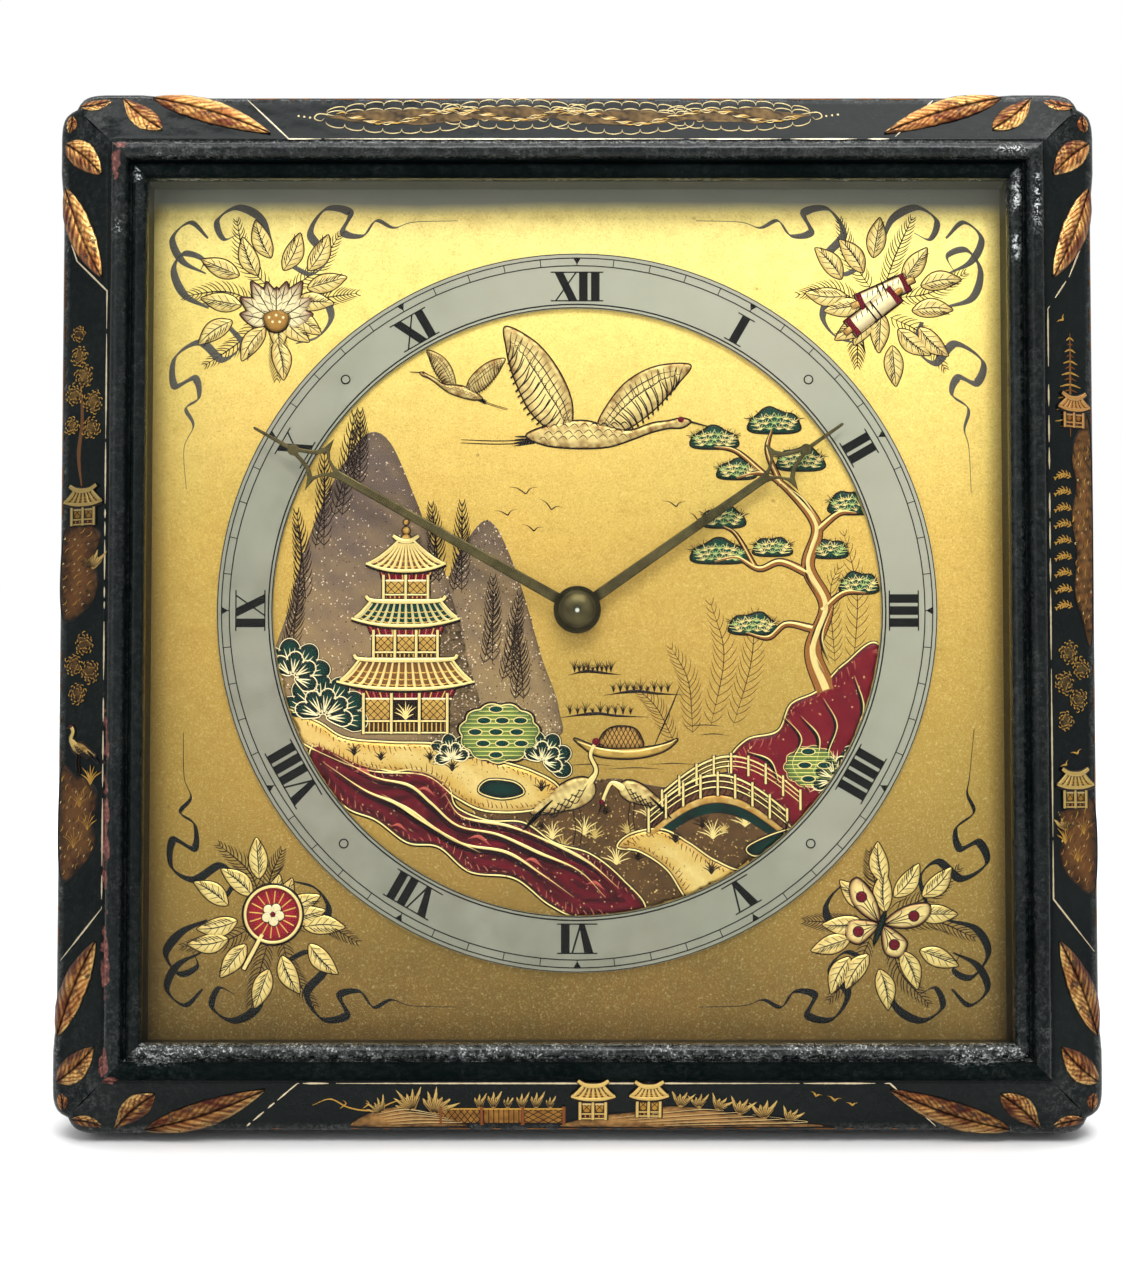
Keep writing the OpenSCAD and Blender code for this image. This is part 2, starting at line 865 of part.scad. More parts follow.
frame_top_rail();
frame_right_rail();
frame_bottom_rail();
frame_left_rail();
leaves_top_left();
leaves_top_right();
leaves_bottom_left();
leaves_bottom_right();
glass();
glass_slips();
dial_plate();
chapter_ring();
ring_pins();
dial_fillets();
backboard();
board_screws();
drum_case();
drum_cover();
flange_screws();
cover_screws();
front_plate();
back_plate();
pillars();
plate_screws();
minute_stud();
centre_arbor();
centre_wheel();
cannon_pinion();
minute_wheel();
hour_wheel();
hour_hand();
minute_hand();
hand_nut();
set_knob();
barrel();
barrel_arbor();
ratchet_wheel();
click();
winding_key();
third_wheel();
lever_stud();
regulator_lever();
strut();
strut_brackets();
strut_pins();
bracket_screws();
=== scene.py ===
"""Looks of the square lacquered strut clock.

Lengths in the tables are millimetres in the clock's own frame: x to the right and z up the
dial, y into the clock, with the origin at the dial centre on the frame's rear plane. stand()
leans the clock back on its strut and gives metres in the row frame.
"""

import json
import math
from functools import partial

import bpy
import numpy as np
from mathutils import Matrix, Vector
from mathutils.geometry import delaunay_2d_cdt

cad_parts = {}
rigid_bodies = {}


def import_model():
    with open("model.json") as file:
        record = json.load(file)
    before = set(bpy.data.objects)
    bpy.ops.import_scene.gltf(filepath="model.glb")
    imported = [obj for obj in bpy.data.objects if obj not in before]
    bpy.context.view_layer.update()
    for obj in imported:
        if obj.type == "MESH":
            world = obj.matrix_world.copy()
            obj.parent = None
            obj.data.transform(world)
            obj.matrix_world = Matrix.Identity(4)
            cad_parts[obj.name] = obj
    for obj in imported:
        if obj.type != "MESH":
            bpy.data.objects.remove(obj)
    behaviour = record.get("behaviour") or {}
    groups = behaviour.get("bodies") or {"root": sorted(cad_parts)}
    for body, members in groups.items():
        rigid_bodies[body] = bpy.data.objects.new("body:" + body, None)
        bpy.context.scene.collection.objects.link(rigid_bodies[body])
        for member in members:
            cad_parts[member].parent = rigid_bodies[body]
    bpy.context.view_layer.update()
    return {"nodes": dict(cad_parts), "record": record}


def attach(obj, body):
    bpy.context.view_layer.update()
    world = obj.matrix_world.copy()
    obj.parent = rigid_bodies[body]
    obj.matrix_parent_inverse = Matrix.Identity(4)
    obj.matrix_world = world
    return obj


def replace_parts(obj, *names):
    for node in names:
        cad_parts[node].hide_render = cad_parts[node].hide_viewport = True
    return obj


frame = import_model()

# ---- sizes shared with the CAD source ----
TILT = math.radians(12)
SHIFT, LIFT = -3.35926, 112.67168  # y and z of the dial centre in the row frame
HALF, LOBE, SIGHT, REBATE = 115.0, 115.7, 95.5, 100.75  # from the dial centre to the frame's edges
BAND_IN, BAND_TOP, EDGE_DEPTH = 103.7, 20.2, 13.6  # the painted band's inner side and depths
DIAL_Y, RING_Y, COVER_Y = 6.0, 7.2, 25.2  # how far the faces lie before or behind the origin
CENTRE_Z = 0.1152  # metres, height of the arbor's line at the hands
HOUR_TURN, MINUTE_TURN = 54.95, 299.4
RNG = np.random.default_rng(7)


def rgb(r, g, b):
    """A screen colour, 0 to 255, as linear values."""
    return tuple(((c / 255 + 0.055) / 1.055) ** 2.4 if c > 10 else c / 3294.6 for c in (r, g, b))


# ---- node materials ----

class Nodes:
    """Short calls for the nodes of one tree."""

    def __init__(self, tree):
        self.tree = tree
        self.coord = self.new("TexCoord").outputs["Object"]

    def new(self, kind):
        return self.tree.nodes.new("ShaderNode" + kind)

    def put(self, socket, value):
        if isinstance(value, bpy.types.NodeSocket):
            self.tree.links.new(value, socket)
        elif isinstance(value, tuple) and len(value) == 3 and socket.type == "RGBA":
            socket.default_value = (*value, 1)
        else:
            socket.default_value = value

    def node(self, kind, inputs=(), out=0, **props):
        n = self.new(kind)
        for key, value in props.items():
            setattr(n, key, value)
        for key, value in dict(inputs).items():
            self.put(n.inputs[key], value)
        return n.outputs[out]

    def scaled(self, scale):
        return self.node("Mapping", {"Vector": self.coord, "Scale": scale})

    def noise(self, scale, detail=4.0, rough=0.55, vector=None, distort=0.0):
        return self.node("TexNoise", {"Vector": vector or self.coord, "Scale": scale,
                                      "Detail": detail, "Roughness": rough, "Distortion": distort})

    def cells(self, scale):
        return self.node("TexVoronoi", {"Vector": self.coord, "Scale": scale})

    def axis(self, i):
        """One of the coordinates, 0 to 2 for x to z."""
        return self.node("SeparateXYZ", {0: self.coord}, out=i)

    def math(self, op, a, b=0.0, clamp=False):
        return self.node("Math", {0: a, 1: b}, operation=op, use_clamp=clamp)

    def plus(self, a, b, clamp=False):
        return self.math("ADD", a, b, clamp)

    def times(self, a, b, clamp=False):
        return self.math("MULTIPLY", a, b, clamp)

    def vector(self, op, a, b=(0, 0, 0), out=0):
        return self.node("VectorMath", {0: a, 1: b}, out, operation=op)

    def ramp(self, fac, stops):
        n = self.new("ValToRGB")
        self.tree.links.new(fac, n.inputs[0])
        ramp = n.color_ramp
        while len(ramp.elements) < len(stops):
            ramp.elements.new(0.5)
        for element, (at, value) in zip(ramp.elements, stops):
            element.position = at
            element.color = (*value, 1) if isinstance(value, tuple) else (value, value, value, 1)
        return n.outputs[0]

    def span(self, value, low, high, to_low=0.0, to_high=1.0):
        return self.node("MapRange", {"Value": value, "From Min": low, "From Max": high,
                                      "To Min": to_low, "To Max": to_high})

    def mix(self, fac, a, b, blend="MIX"):
        n = self.new("Mix")
        n.data_type, n.blend_type = "RGBA", blend
        self.put(n.inputs["Factor"], fac)
        self.put(n.inputs["A"], a)
        self.put(n.inputs["B"], b)
        return n.outputs["Result"]

    def dyed(self, colour, dye):
        return self.mix(1.0, colour, dye, "MULTIPLY")

    def attribute(self, name, out="Fac"):
        return self.node("Attribute", out=out, attribute_name=name)

    def seen(self):
        """1 for the camera's rays and for those that carry a mirrored or glazed view of it."""
        rays = self.new("LightPath").outputs
        seen = self.plus(rays["Is Camera Ray"], rays["Is Glossy Ray"])
        return self.plus(seen, rays["Is Transmission Ray"], True)

    def blend_shaders(self, share, a, b):
        return self.node("MixShader", {0: share, 1: a, 2: b})

    def bump(self, height, depth, strength=1.0, after=None):
        n = {"Height": height, "Distance": depth / 1000, "Strength": strength}
        if after:
            n["Normal"] = after
        return self.node("Bump", n)


class Mat(Nodes):
    """A principled material."""

    def __init__(self, name, **fixed):
        self.mat = bpy.data.materials.new(name)
        self.mat.use_nodes = True
        super().__init__(self.mat.node_tree)
        self.out = self.tree.nodes["Material Output"]
        self.bsdf = self.tree.nodes["Principled BSDF"]
        self.set(**fixed)

    def set(self, **values):
        for key, value in values.items():
            self.put(self.bsdf.inputs[key.replace("_", " ")], value)
        return self.mat


def lacquer_material(name, base, edge):
    """Black lacquer with a green cast, crazed and chipped where it is worn; the pale worn parts are partly
    painted highlight, and pale broken streaks are painted highlights.
    """
    m = Mat(name, IOR=1.5)
    wear = m.attribute("wear")
    bole = m.attribute("bole")
    glint = m.attribute("glint")
    patch = m.noise(60, 5)
    fine = m.noise(700, 4, 0.6)
    specks = m.noise(1900, 3, 0.6)
    worn_and_sheen = m.times(wear, m.span(fine, 0.4, 0.64), True)
    colour = m.mix(m.span(patch, 0.35, 0.7), base, edge)
    # pale wear and white chips; where the wear is heavy, on the top bead and on the bottom lip and inner bead,
    # they are partly painted highlight
    colour = m.mix(m.times(worn_and_sheen, m.span(specks, 0.4, 0.62, 0.1, 0.85)), colour, rgb(104, 108, 105))
    chipped = m.span(m.plus(specks, m.times(worn_and_sheen, 0.1)), 0.66, 0.73)
    chips = m.times(chipped, m.span(wear, 0.5, 1.3, 0, 0.8), True)
    colour = m.mix(chips, colour, rgb(206, 208, 204))
    red = m.span(m.plus(bole, m.times(fine, 0.5)), 0.72, 0.86)
    clay = m.ramp(m.noise(1200, 5), [(0.3, rgb(56, 34, 32)), (0.5, rgb(98, 58, 54)), (0.7, rgb(150, 104, 92))])
    colour = m.mix(red, colour, clay)
    # painted highlights: pale broken streaks where the rail's highlight attribute is high
    streaks = m.plus(m.times(m.noise(620, 3, 0.6, None, 0.6), 0.5), m.times(specks, 0.5))
    painted_highlight_mask = m.times(glint, m.span(streaks, 0.505, 0.555), True)
    colour = m.mix(painted_highlight_mask, colour, m.mix(m.span(fine, 0.4, 0.6), rgb(120, 126, 124), rgb(240, 244, 244)))
    rough = m.plus(m.span(patch, 0.3, 0.7, 0.12, 0.24),
                   m.plus(m.times(worn_and_sheen, 0.16), m.times(red, 0.4)), True)
    gloss = m.times(m.attribute("gloss"), m.span(m.times(worn_and_sheen, m.span(specks, 0.4, 0.62)), 0, 1, 1, 2))
    height = m.plus(m.noise(140, 3), m.times(fine, 0.14))
    normal = m.bump(height, 0.35, 0.4)
    lumps = m.math("SUBTRACT", m.times(m.plus(specks, fine), m.times(wear, 0.45)), red)
    normal = m.bump(lumps, 0.14, 0.8, normal)
    return m.set(Base_Color=colour, Roughness=rough, Specular_IOR_Level=gloss, Normal=normal)


def leaf_material():
    """Carved wood, gilt over red clay, with the colour laid on by vertex."""
    m = Mat("carved_gilt", IOR=1.5, Specular_IOR_Level=0.16)
    tint = m.attribute("tint", "Color")
    rub = m.noise(1300, 5, 0.7)
    colour = m.mix(m.span(rub, 0.52, 0.68, 0, 0.75), tint, m.dyed(tint, rgb(120, 84, 66)))
    colour = m.mix(m.span(m.noise(2200, 4), 0.58, 0.72, 0, 0.5), colour, m.dyed(colour, (1.9, 1.8, 1.6)))
    colour = m.mix(m.span(m.noise(170, 3), 0.48, 0.6, 0, 0.6), colour, m.dyed(colour, (0.78, 0.5, 0.42)))
    colour = m.mix(m.span(m.noise(520, 4, 0.65), 0.585, 0.625, 0, 0.8), colour, rgb(46, 38, 33))
    normal = m.bump(m.noise(1500, 4), 0.22, 0.8)
    return m.set(Base_Color=colour, Roughness=m.span(rub, 0.3, 0.7, 0.26, 0.46), Metallic=0.5, Normal=normal)


def paint_material(name, coarse=1400):
    """Raised gilding and colour: tint gives the colour and metal says where it is gold."""
    m = Mat(name, IOR=1.5)
    tint = m.attribute("tint", "Color")
    metal = m.attribute("metal")
    grain = m.noise(coarse, 4, 0.65)
    colour = m.mix(m.span(grain, 0.3, 0.75, 0.0, 0.28), tint, m.dyed(tint, rgb(196, 170, 140)))
    rough = m.plus(m.span(grain, 0.3, 0.7, 0.26, 0.4), m.times(metal, 0.04))
    normal = m.bump(grain, 0.05, 0.6)
    return m.set(Base_Color=colour, Roughness=rough, Specular_IOR_Level=0.14, Metallic=m.times(metal, 0.72),
                 Normal=normal)


def dial_material():
    """Gold leaf on a matt ground, with painted light: brightest at the top of the dial and darkest at the
    bottom, darker on the left and lighter on the right.
    """
    m = Mat("gilt_dial", IOR=1.5)
    across = m.axis(0)
    height = m.axis(2)
    z = m.plus(height, m.span(m.noise(18, 2), 0.3, 0.7, -0.006, 0.006))
    # painted light: the gold runs from dark at the bottom to bright at the top
    gold = m.ramp(m.span(z, 0.012, 0.212), [
        (0.0, rgb(102, 80, 42)), (0.12, rgb(124, 99, 52)), (0.32, rgb(180, 146, 72)),
        (0.6, rgb(216, 178, 90)), (0.85, rgb(250, 222, 128)), (1.0, rgb(255, 232, 150))])
    leafy = m.noise(240, 6, 0.7)
    colour = m.mix(m.span(leafy, 0.35, 0.7, 0.0, 0.26), gold, rgb(160, 120, 56))
    grain = m.noise(2300, 4, 0.75)
    colour = m.mix(m.span(grain, 0.52, 0.75, 0.0, 0.6), colour, rgb(138, 102, 46))
    colour = m.mix(m.span(grain, 0.46, 0.3, 0.0, 0.4), colour, rgb(255, 238, 170))
    spots = m.span(m.cells(130), 0.0, 0.075, 1.0, 0.0)
    colour = m.mix(m.times(spots, m.span(m.noise(90), 0.5, 0.6, 0, 0.6), True), colour, rgb(98, 68, 30))
    # painted light: darker towards the left, lighter towards the right
    colour = m.mix(m.span(across, -0.03, -0.1, 0.0, 0.1), colour, rgb(60, 44, 20))
    colour = m.mix(m.span(across, 0.03, 0.09), colour, m.dyed(colour, (1.16, 1.18, 1.2)))
    # the frame's shadow down the sides and its grey reflection along the top
    ragged = m.span(m.noise(30, 2), 0.3, 0.7, -0.0004, 0.0004)
    border = m.span(m.plus(m.math("ABSOLUTE", across), ragged), 0.0918, 0.0955, 0, 0.5)
    colour = m.mix(border, colour, rgb(58, 46, 26))
    ragged = m.span(m.noise(25, 2), 0.3, 0.7, -0.0005, 0.0005)
    shade = m.span(m.plus(height, ragged), 0.2018, 0.2046)
    colour = m.mix(shade, colour, rgb(128, 127, 116))
    normal = m.bump(grain, 0.05, 0.8)
    normal = m.bump(m.noise(300, 3), 0.12, 0.4, normal)
    return m.set(Base_Color=colour, Roughness=m.span(leafy, 0.3, 0.7, 0.36, 0.5),
                 Metallic=m.span(shade, 0, 1, 0.85, 0.2), Normal=normal)


def silver_material():
    """Silvered brass, matt and slightly grey-yellow, with painted light: darker at the lower left and lighter
    towards the upper right.
    """
    m = Mat("silvered", IOR=1.5)
    cloud = m.noise(120, 5, 0.6)
    # painted light: the tone runs from dark at the lower left to light at the upper right
    slant = m.plus(m.axis(2), m.times(m.axis(0), 1.05))
    tone = m.ramp(m.span(slant, 0.03, 0.2), [
        (0.0, rgb(134, 132, 117)), (0.45, rgb(148, 146, 130)), (1.0, rgb(166, 163, 146))])
    colour = m.mix(m.span(cloud, 0.35, 0.65, 0, 0.3), tone, rgb(176, 175, 160))
    grain = m.noise(3200, 3, 0.7)
    colour = m.mix(m.span(grain, 0.6, 0.78, 0.0, 0.45), colour, rgb(118, 116, 100))
    marks = m.times(m.span(m.cells(210), 0.0, 0.07, 1.0, 0.0), m.span(m.noise(160), 0.5, 0.6, 0, 0.7), True)
    colour = m.mix(marks, colour, rgb(96, 92, 78))
    return m.set(Base_Color=colour, Roughness=m.span(cloud, 0.3, 0.7, 0.42, 0.54), Metallic=0.4,
                 Normal=m.bump(grain, 0.03, 0.6))


def metal_material(name, light, dark, rough, rim=0.0):
    """Brass, steel or bronze with fine grain and darker stains. rim is how much painted shade it takes where it
    faces away; when it is set, a painted shade also lies in a band on the hands round their nut."""
    m = Mat(name, IOR=1.5, Metallic=1.0)
    lines = m.noise(900, 3, 0.6)
    stain = m.noise(170, 5, 0.65)
    colour = m.mix(m.span(stain, 0.38, 0.7), light, dark)
    colour = m.mix(m.span(lines, 0.5, 0.8, 0, 0.35), colour, dark)
    spots = m.span(m.cells(420), 0.0, 0.09, 0.6, 0.0)
    colour = m.mix(spots, colour, dark)
    from_axis = m.vector("MULTIPLY", m.vector("SUBTRACT", m.coord, (0, 0, CENTRE_Z)), (1, 0, 1))
    r = m.vector("LENGTH", from_axis, out=1)
    if name == "steel":  # the arbor's tip in the nut, painted dark with a painted highlight at its centre
        tip = m.span(m.axis(1), -0.0120, -0.0125)
        painted_tip_glint = m.mix(m.span(r, 0.0003, 0.0006), rgb(226, 226, 214), rgb(62, 60, 46))
        colour = m.mix(tip, colour, painted_tip_glint)
    if rim:
        # painted shade: a dark band on the hands round their nut, and darkening where the surface faces away
        hub = m.times(m.span(r, 0.0038, 0.0043), m.span(r, 0.0052, 0.0066, 0.8, 0))
        colour = m.mix(hub, colour, rgb(26, 24, 16))
        away = m.node("LayerWeight", {"Blend": 0.5}, out="Facing")
        colour = m.mix(m.span(away, 0.12, 0.7, 0, rim), colour, rgb(22, 20, 14))
    return m.set(Base_Color=colour, Roughness=m.span(stain, 0.3, 0.75, rough, rough + 0.2),
                 Normal=m.bump(lines, 0.04, 0.5))


def wood_material(name, light, dark):
    m = Mat(name, IOR=1.5)
    grain = m.noise(120, 6, 0.65, m.scaled((9, 9, 0.7)), 0.6)
    colour = m.mix(m.span(grain, 0.3, 0.7), dark, light)
    pores = m.noise(500, 4, 0.6, m.scaled((6, 6, 0.4)))
    colour = m.mix(m.span(pores, 0.55, 0.75, 0, 0.6), colour, dark)
    return m.set(Base_Color=colour, Roughness=0.6, Normal=m.bump(grain, 0.08, 0.7))


def slip_material():
    """The dark slips round the glass, painted greyer along the top as painted light."""
    m = Mat("slips", IOR=1.25)
    grain = m.noise(300, 5, 0.65, m.scaled((0.6, 4, 4)))
    # painted light: the top slip is painted a lighter grey
    high = m.span(m.axis(2), 0.200, 0.203)
    colour = m.mix(m.span(grain, 0.3, 0.7), rgb(7, 8, 8), rgb(13, 14, 13))
    colour = m.mix(high, colour, m.mix(m.span(grain, 0.3, 0.7), rgb(74, 75, 70), rgb(96, 96, 88)))
    return m.set(Base_Color=colour, Roughness=m.span(grain, 0.3, 0.7, 0.4, 0.55),
                 Normal=m.bump(grain, 0.05, 0.7))


def board_material():
    """The back's thin black stain and lacquer over wood, rubbed to brown at the high spots."""
    m = Mat("back_lacquer", IOR=1.5)
    grain = m.noise(90, 6, 0.65, m.scaled((10, 4, 0.6)), 0.5)
    fine = m.noise(420, 5, 0.7, m.scaled((8, 8, 0.5)))
    colour = m.mix(m.span(grain, 0.3, 0.7), rgb(24, 26, 26), rgb(44, 42, 38))
    colour = m.mix(m.span(m.times(m.noise(26, 4), fine), 0.3, 0.42, 0, 0.5), colour, rgb(92, 66, 44))
    scratches = m.span(m.noise(260, 2, 0.5, m.scaled((1, 1, 14))), 0.68, 0.74, 0, 0.5)
    colour = m.mix(scratches, colour, rgb(104, 98, 88))
    height = m.plus(grain, m.times(fine, 0.5))
    return m.set(Base_Color=colour, Roughness=m.span(grain, 0.3, 0.7, 0.34, 0.5),
                 Normal=m.bump(height, 0.1, 0.6))


def glass_material():
    """A clear pane: what lies behind it shows, and it gleams by its Fresnel share."""
    m = Mat("glass")
    tone = m.mix(m.span(m.noise(30, 2), 0.3, 0.7), rgb(250, 252, 250), rgb(254, 254, 253))
    gleam = m.node("BsdfAnisotropic", {
        "Color": (1.0, 1.0, 1.0), "Roughness": m.span(m.noise(260, 4), 0.3, 0.7, 0.02, 0.05),
        "Normal": m.bump(m.noise(12, 2), 0.05, 0.2)})
    share = m.times(m.node("Fresnel", {"IOR": 1.45}), 0.12)
    pane = m.blend_shaders(share, m.node("BsdfTransparent", {"Color": tone}), gleam)
    m.put(m.out.inputs["Surface"], pane)
    return m.mat


def ink_material():
    m = Mat("ink", IOR=1.5)
    thin = m.noise(1800, 4, 0.7)
    colour = m.mix(m.span(thin, 0.62, 0.8, 0, 0.5), rgb(15, 15, 14), rgb(90, 88, 78))
    return m.set(Base_Color=colour, Specular_IOR_Level=0.12, Roughness=m.span(thin, 0.3, 0.7, 0.4, 0.6),
                 Normal=m.bump(thin, 0.03, 0.5))


MAT = {
    "lacquer": lacquer_material("lacquer", rgb(6, 12, 12), rgb(13, 20, 19)),
    "carved_gilt": leaf_material(),
    "glass": glass_material(),
    "slips": slip_material(),
    "gilt_dial": dial_material(),
    "silvered": silver_material(),
    "plain_wood": wood_material("plain_wood", rgb(150, 112, 74), rgb(100, 70, 44)),
    "back_lacquer": board_material(),
    "brass": metal_material("brass", rgb(212, 176, 100), rgb(172, 132, 70), 0.26),
    "steel": metal_material("steel", rgb(170, 168, 162), rgb(104, 100, 94), 0.25),
    "screws": metal_material("screws", rgb(178, 168, 140), rgb(110, 98, 74), 0.3),
    "bronzed": metal_material("bronzed", rgb(98, 89, 59), rgb(54, 49, 33), 0.3, rim=0.9),
    "ink": ink_material(),
    "paint": paint_material("raised_paint"),
    "rail_paint": paint_material("rail_paint", 1800),
}

# ---- CAD nodes take their slot's material ----
for part in frame["record"]["subparts"]:
    mesh = frame["nodes"][part["node"]].data
    mesh.materials.clear()
    mesh.materials.append(MAT[part["material_slot"]])


# ---- mesh helpers ----

def stand(points):
    """Clock millimetres to metres in the row frame, with nothing below the floor."""
    x, y, z = np.asarray(points, float).T
    c, s = math.cos(TILT), math.sin(TILT)
    out = np.stack([x, y * c + z * s + SHIFT, z * c - y * s + LIFT], -1) / 1000
    out[:, 2] = np.maximum(out[:, 2], 0)
    return out


def placed(name, data):
    """A new object in the scene."""
    ob = bpy.data.objects.new(name, data)
    bpy.context.scene.collection.objects.link(ob)
    return ob


def sharpened(ob, degrees):
    """The same object with edges steeper than this kept crisp."""
    ob.data.set_sharp_from_angle(angle=math.radians(degrees))
    return ob


def add_mesh(name, verts, faces, material, body="clock", slot=None, **attributes):
    """A mesh from clock millimetres, standing in the row frame and riding on a body."""
    mesh = bpy.data.meshes.new(name)
    mesh.from_pydata(stand(verts).tolist(), [], faces)
    mesh.materials.append(MAT[material])
    for key, values in attributes.items():
        values = np.asarray(values, float)
        if values.ndim == 2:
            layer = mesh.color_attributes.new(key, "FLOAT_COLOR", "POINT")
            data = np.ones((len(verts), 4))
            data[:, :3] = values
            layer.data.foreach_set("color", data.ravel())
        else:
            layer = mesh.attributes.new(key, "FLOAT", "POINT")
            layer.data.foreach_set("value", values)
    mesh.polygons.foreach_set("use_smooth", [True] * len(mesh.polygons))
    mesh.update()
    ob = placed(name, mesh)
    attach(ob, body)
    return ob


def grid_faces(rows, cols, at=0, closed=False):
    """Quads over rows x cols points laid out row by row."""
    i, j = np.meshgrid(np.arange(rows - 1), np.arange(cols if closed else cols - 1), indexing="ij")
    a, b = at + i * cols + j, at + i * cols + (j + 1) % cols
    return np.stack([a, b, b + cols, a + cols], -1).reshape(-1, 4).tolist()


def smooth_line(points, step=0.6, closed=False):
    """A Catmull-Rom line through 2-D points, with a point about every step."""
    p = np.asarray(points, float)
    if len(p) == 2:
        n = max(2, int(np.hypot(*(p[1] - p[0])) / step) + 1)
        return p[0] + (p[1] - p[0]) * np.linspace(0, 1, n)[:, None]
    if closed:
        p = np.vstack([p[-1], p, p[0], p[1]])
    else:
        p = np.vstack([2 * p[0] - p[1], p, 2 * p[-1] - p[-2]])
    out = []
    for a, b, c, d in zip(p[:-3], p[1:-2], p[2:-1], p[3:]):
        n = max(2, int(np.hypot(*(c - b)) / step) + 1)
        t = np.arange(n)[:, None] / n
        out.append(0.5 * (2 * b + (c - a) * t + (2 * a - 5 * b + 4 * c - d) * t**2
                          + (3 * b - a - 3 * c + d) * t**3))
    if not closed:
        out.append(p[-2][None])
    return np.vstack(out)


def wobble(x, y=0.0, seed=0.0):
    """Smooth noise from -1 to 1 that repeats on every run."""
    return (np.sin(x * 1.0 + seed) + np.sin(x * 2.3 + y * 1.7 + seed * 2) + np.sin(x * 0.6 - y * 3.1 + seed * 3)
            + np.sin(x * 5.1 + y * 4.3 + seed * 5)) / 4


# ---- frame rails ----

def outer_edge(along):
    """Distance of the frame's outer edge from the centre, beside a point along the rail."""
    a = LOBE - np.abs(along)
    at = [3.5, 4.1, 4.9, 6.1, 7.8, 10, 18, 21, 24, 27]
    inward = [3.5, 2.2, 1.2, 0.5, 0.12, 0, 0, 0.245, 0.56, 0.7]
    return LOBE - np.interp(a, at, inward)


BEAD_1, BEAD_2 = 101.4, 97.33  # the middles of the tall bead and the lower one


def band_y(v):
    """Depth of the painted band at a distance from the dial's centre."""
    return -(EDGE_DEPTH + (HALF - v) * (BAND_TOP - EDGE_DEPTH) / (HALF - BAND_IN))


def arc(v, y, rx, ry, start, end, n):
    """Part of a rounded bead's section, by angles in degrees."""
    t = np.radians(np.linspace(start, end, n))
    return np.stack([v + rx * np.cos(t), y - ry * np.sin(t)], -1)


def rail_profile():
    """Section of a rail from the outer wall over the front to the rebate, and what each point is on."""
    band = np.linspace(HALF - 2, BAND_IN + 0.5, 12)
    parts = [
        ("wall", [[HALF, 0.0], [HALF, -4], [HALF, -8], [HALF, -11.5], [HALF, -12.4]]),
        ("edge", [[HALF - 0.12, -13.1], [HALF - 0.5, -13.75], [HALF - 1.1, -14.25]]),
        ("band", np.stack([band, band_y(band)], -1)),
        ("band", [[BAND_IN + 0.1, -20.05], [BAND_IN - 0.2, -19.65]]),
        ("bead", arc(BEAD_1, -20.1, 1.9, 1.9, 12, 172, 14)),
        ("cove", [[BEAD_1 - 1.95, -19.1]]),
        ("lip", [[BEAD_1 - 2.1, -18.65], [BEAD_1 - 2.3, -18.3]]),
        ("inner", arc(BEAD_2, -18.0, 1.68, 1.7, 8, 172, 12)),
        ("sight", [[SIGHT + 0.03, -17.6], [SIGHT, -16.9], [SIGHT, -16.0]]),
        ("cove", [[REBATE, -16.0], [REBATE, -8]]),
        ("wall", [[REBATE, 0.0], [BAND_IN, 0.0], [HALF - 6, 0.0], [HALF, 0.0]])]
    return np.vstack([p for _, p in parts]), [name for name, p in parts for _ in p]


# quarter turns of each rail from the top position
SIDES = {"top": 0, "right": 1, "bottom": 2, "left": 3}
# how glossy and how worn each part of a rail is, by side
GLOSS = {"top": dict(wall=0.3, edge=0.25, band=0.15, bead=0.22, cove=0.0, lip=0.0, inner=0.0, sight=0.5),
         "right": dict(wall=0.3, edge=0.2, band=0.1, bead=0.13, cove=0.08, lip=0.22, inner=0.16, sight=0.1),
         "bottom": dict(wall=0.3, edge=0.2, band=0.13, bead=0.0, cove=0.1, lip=0.9, inner=0.2, sight=0.3),
         "left": dict(wall=0.3, edge=0.2, band=0.08, bead=0.16, cove=0.16, lip=0.2, inner=0.1, sight=0.1)}
# the heavy wear on the top rail's bead and on the bottom rail's lip and inner bead lays pale specks and chips
# that are partly real wear and partly painted highlight
WEAR_AND_SHEEN = {"top": dict(wall=0.12, edge=0.4, band=0.03, bead=0.3, cove=0.0, lip=0.0, inner=0.06, sight=0.6),
        "right": dict(wall=0.12, edge=0.3, band=0.02, bead=0.15, cove=0.0, lip=0.14, inner=0.18, sight=0.3),
        "bottom": dict(wall=0.12, edge=0.4, band=0.03, bead=0.06, cove=0.1, lip=1.0, inner=0.95, sight=0.9),
        "left": dict(wall=0.12, edge=0.4, band=0.04, bead=0.13, cove=0.05, lip=0.14, inner=0.1, sight=0.2)}
# where the red clay shows: along, half length, distance from the centre, strength
CLAY = {"left": [(-30, 6, 103.3, 0.45), (-50, 14, 103.2, 0.95), (-78, 10, 103.0, 0.9), (-18, 12, 103.5, 0.4),
                 (98, 4, 102.0, 1.0), (-99.5, 3.8, 103.2, 1.1)],
        "right": [(60, 8, 103.2, 0.2), (-30, 5, 103.2, 0.2)],
        "bottom": [(102.5, 3, 103.2, 0.9), (20, 3, 103.2, 0.2)],
        "top": [(-101.5, 3, 102.4, 0.8)]}
# painted highlights as broken bright streaks: along, half length, distance from the centre, strength
PAINTED_HIGHLIGHTS = {"top": [(96, 3, 101.4, 1), (0, 92, 103.25, 0.55)],
          "right": [(-92, 4, 97.4, 1), (-90, 6, 101.6, 1), (-80, 3, 97.2, 1)],
          "left": [(96.5, 2.0, 97.4, 1), (84, 1.2, 101.6, 1)],
          "bottom": [(92, 4, 98.8, 1), (-86, 5, 98.8, 1), (0, 92, 98.5, 0.42)]}
RAIL_CUTS = 190
CORNER = (9.5, 8.2)  # the middle of the hollow in each corner, from the lobe's edges


def turn(points, quarter):
    """Clock points of the top position turned by quarters about the dial's axis."""
    x, y, z = np.asarray(points, float).T
    for _ in range(quarter):
        x, z = z, -x
    return np.stack([x, y, z], -1)


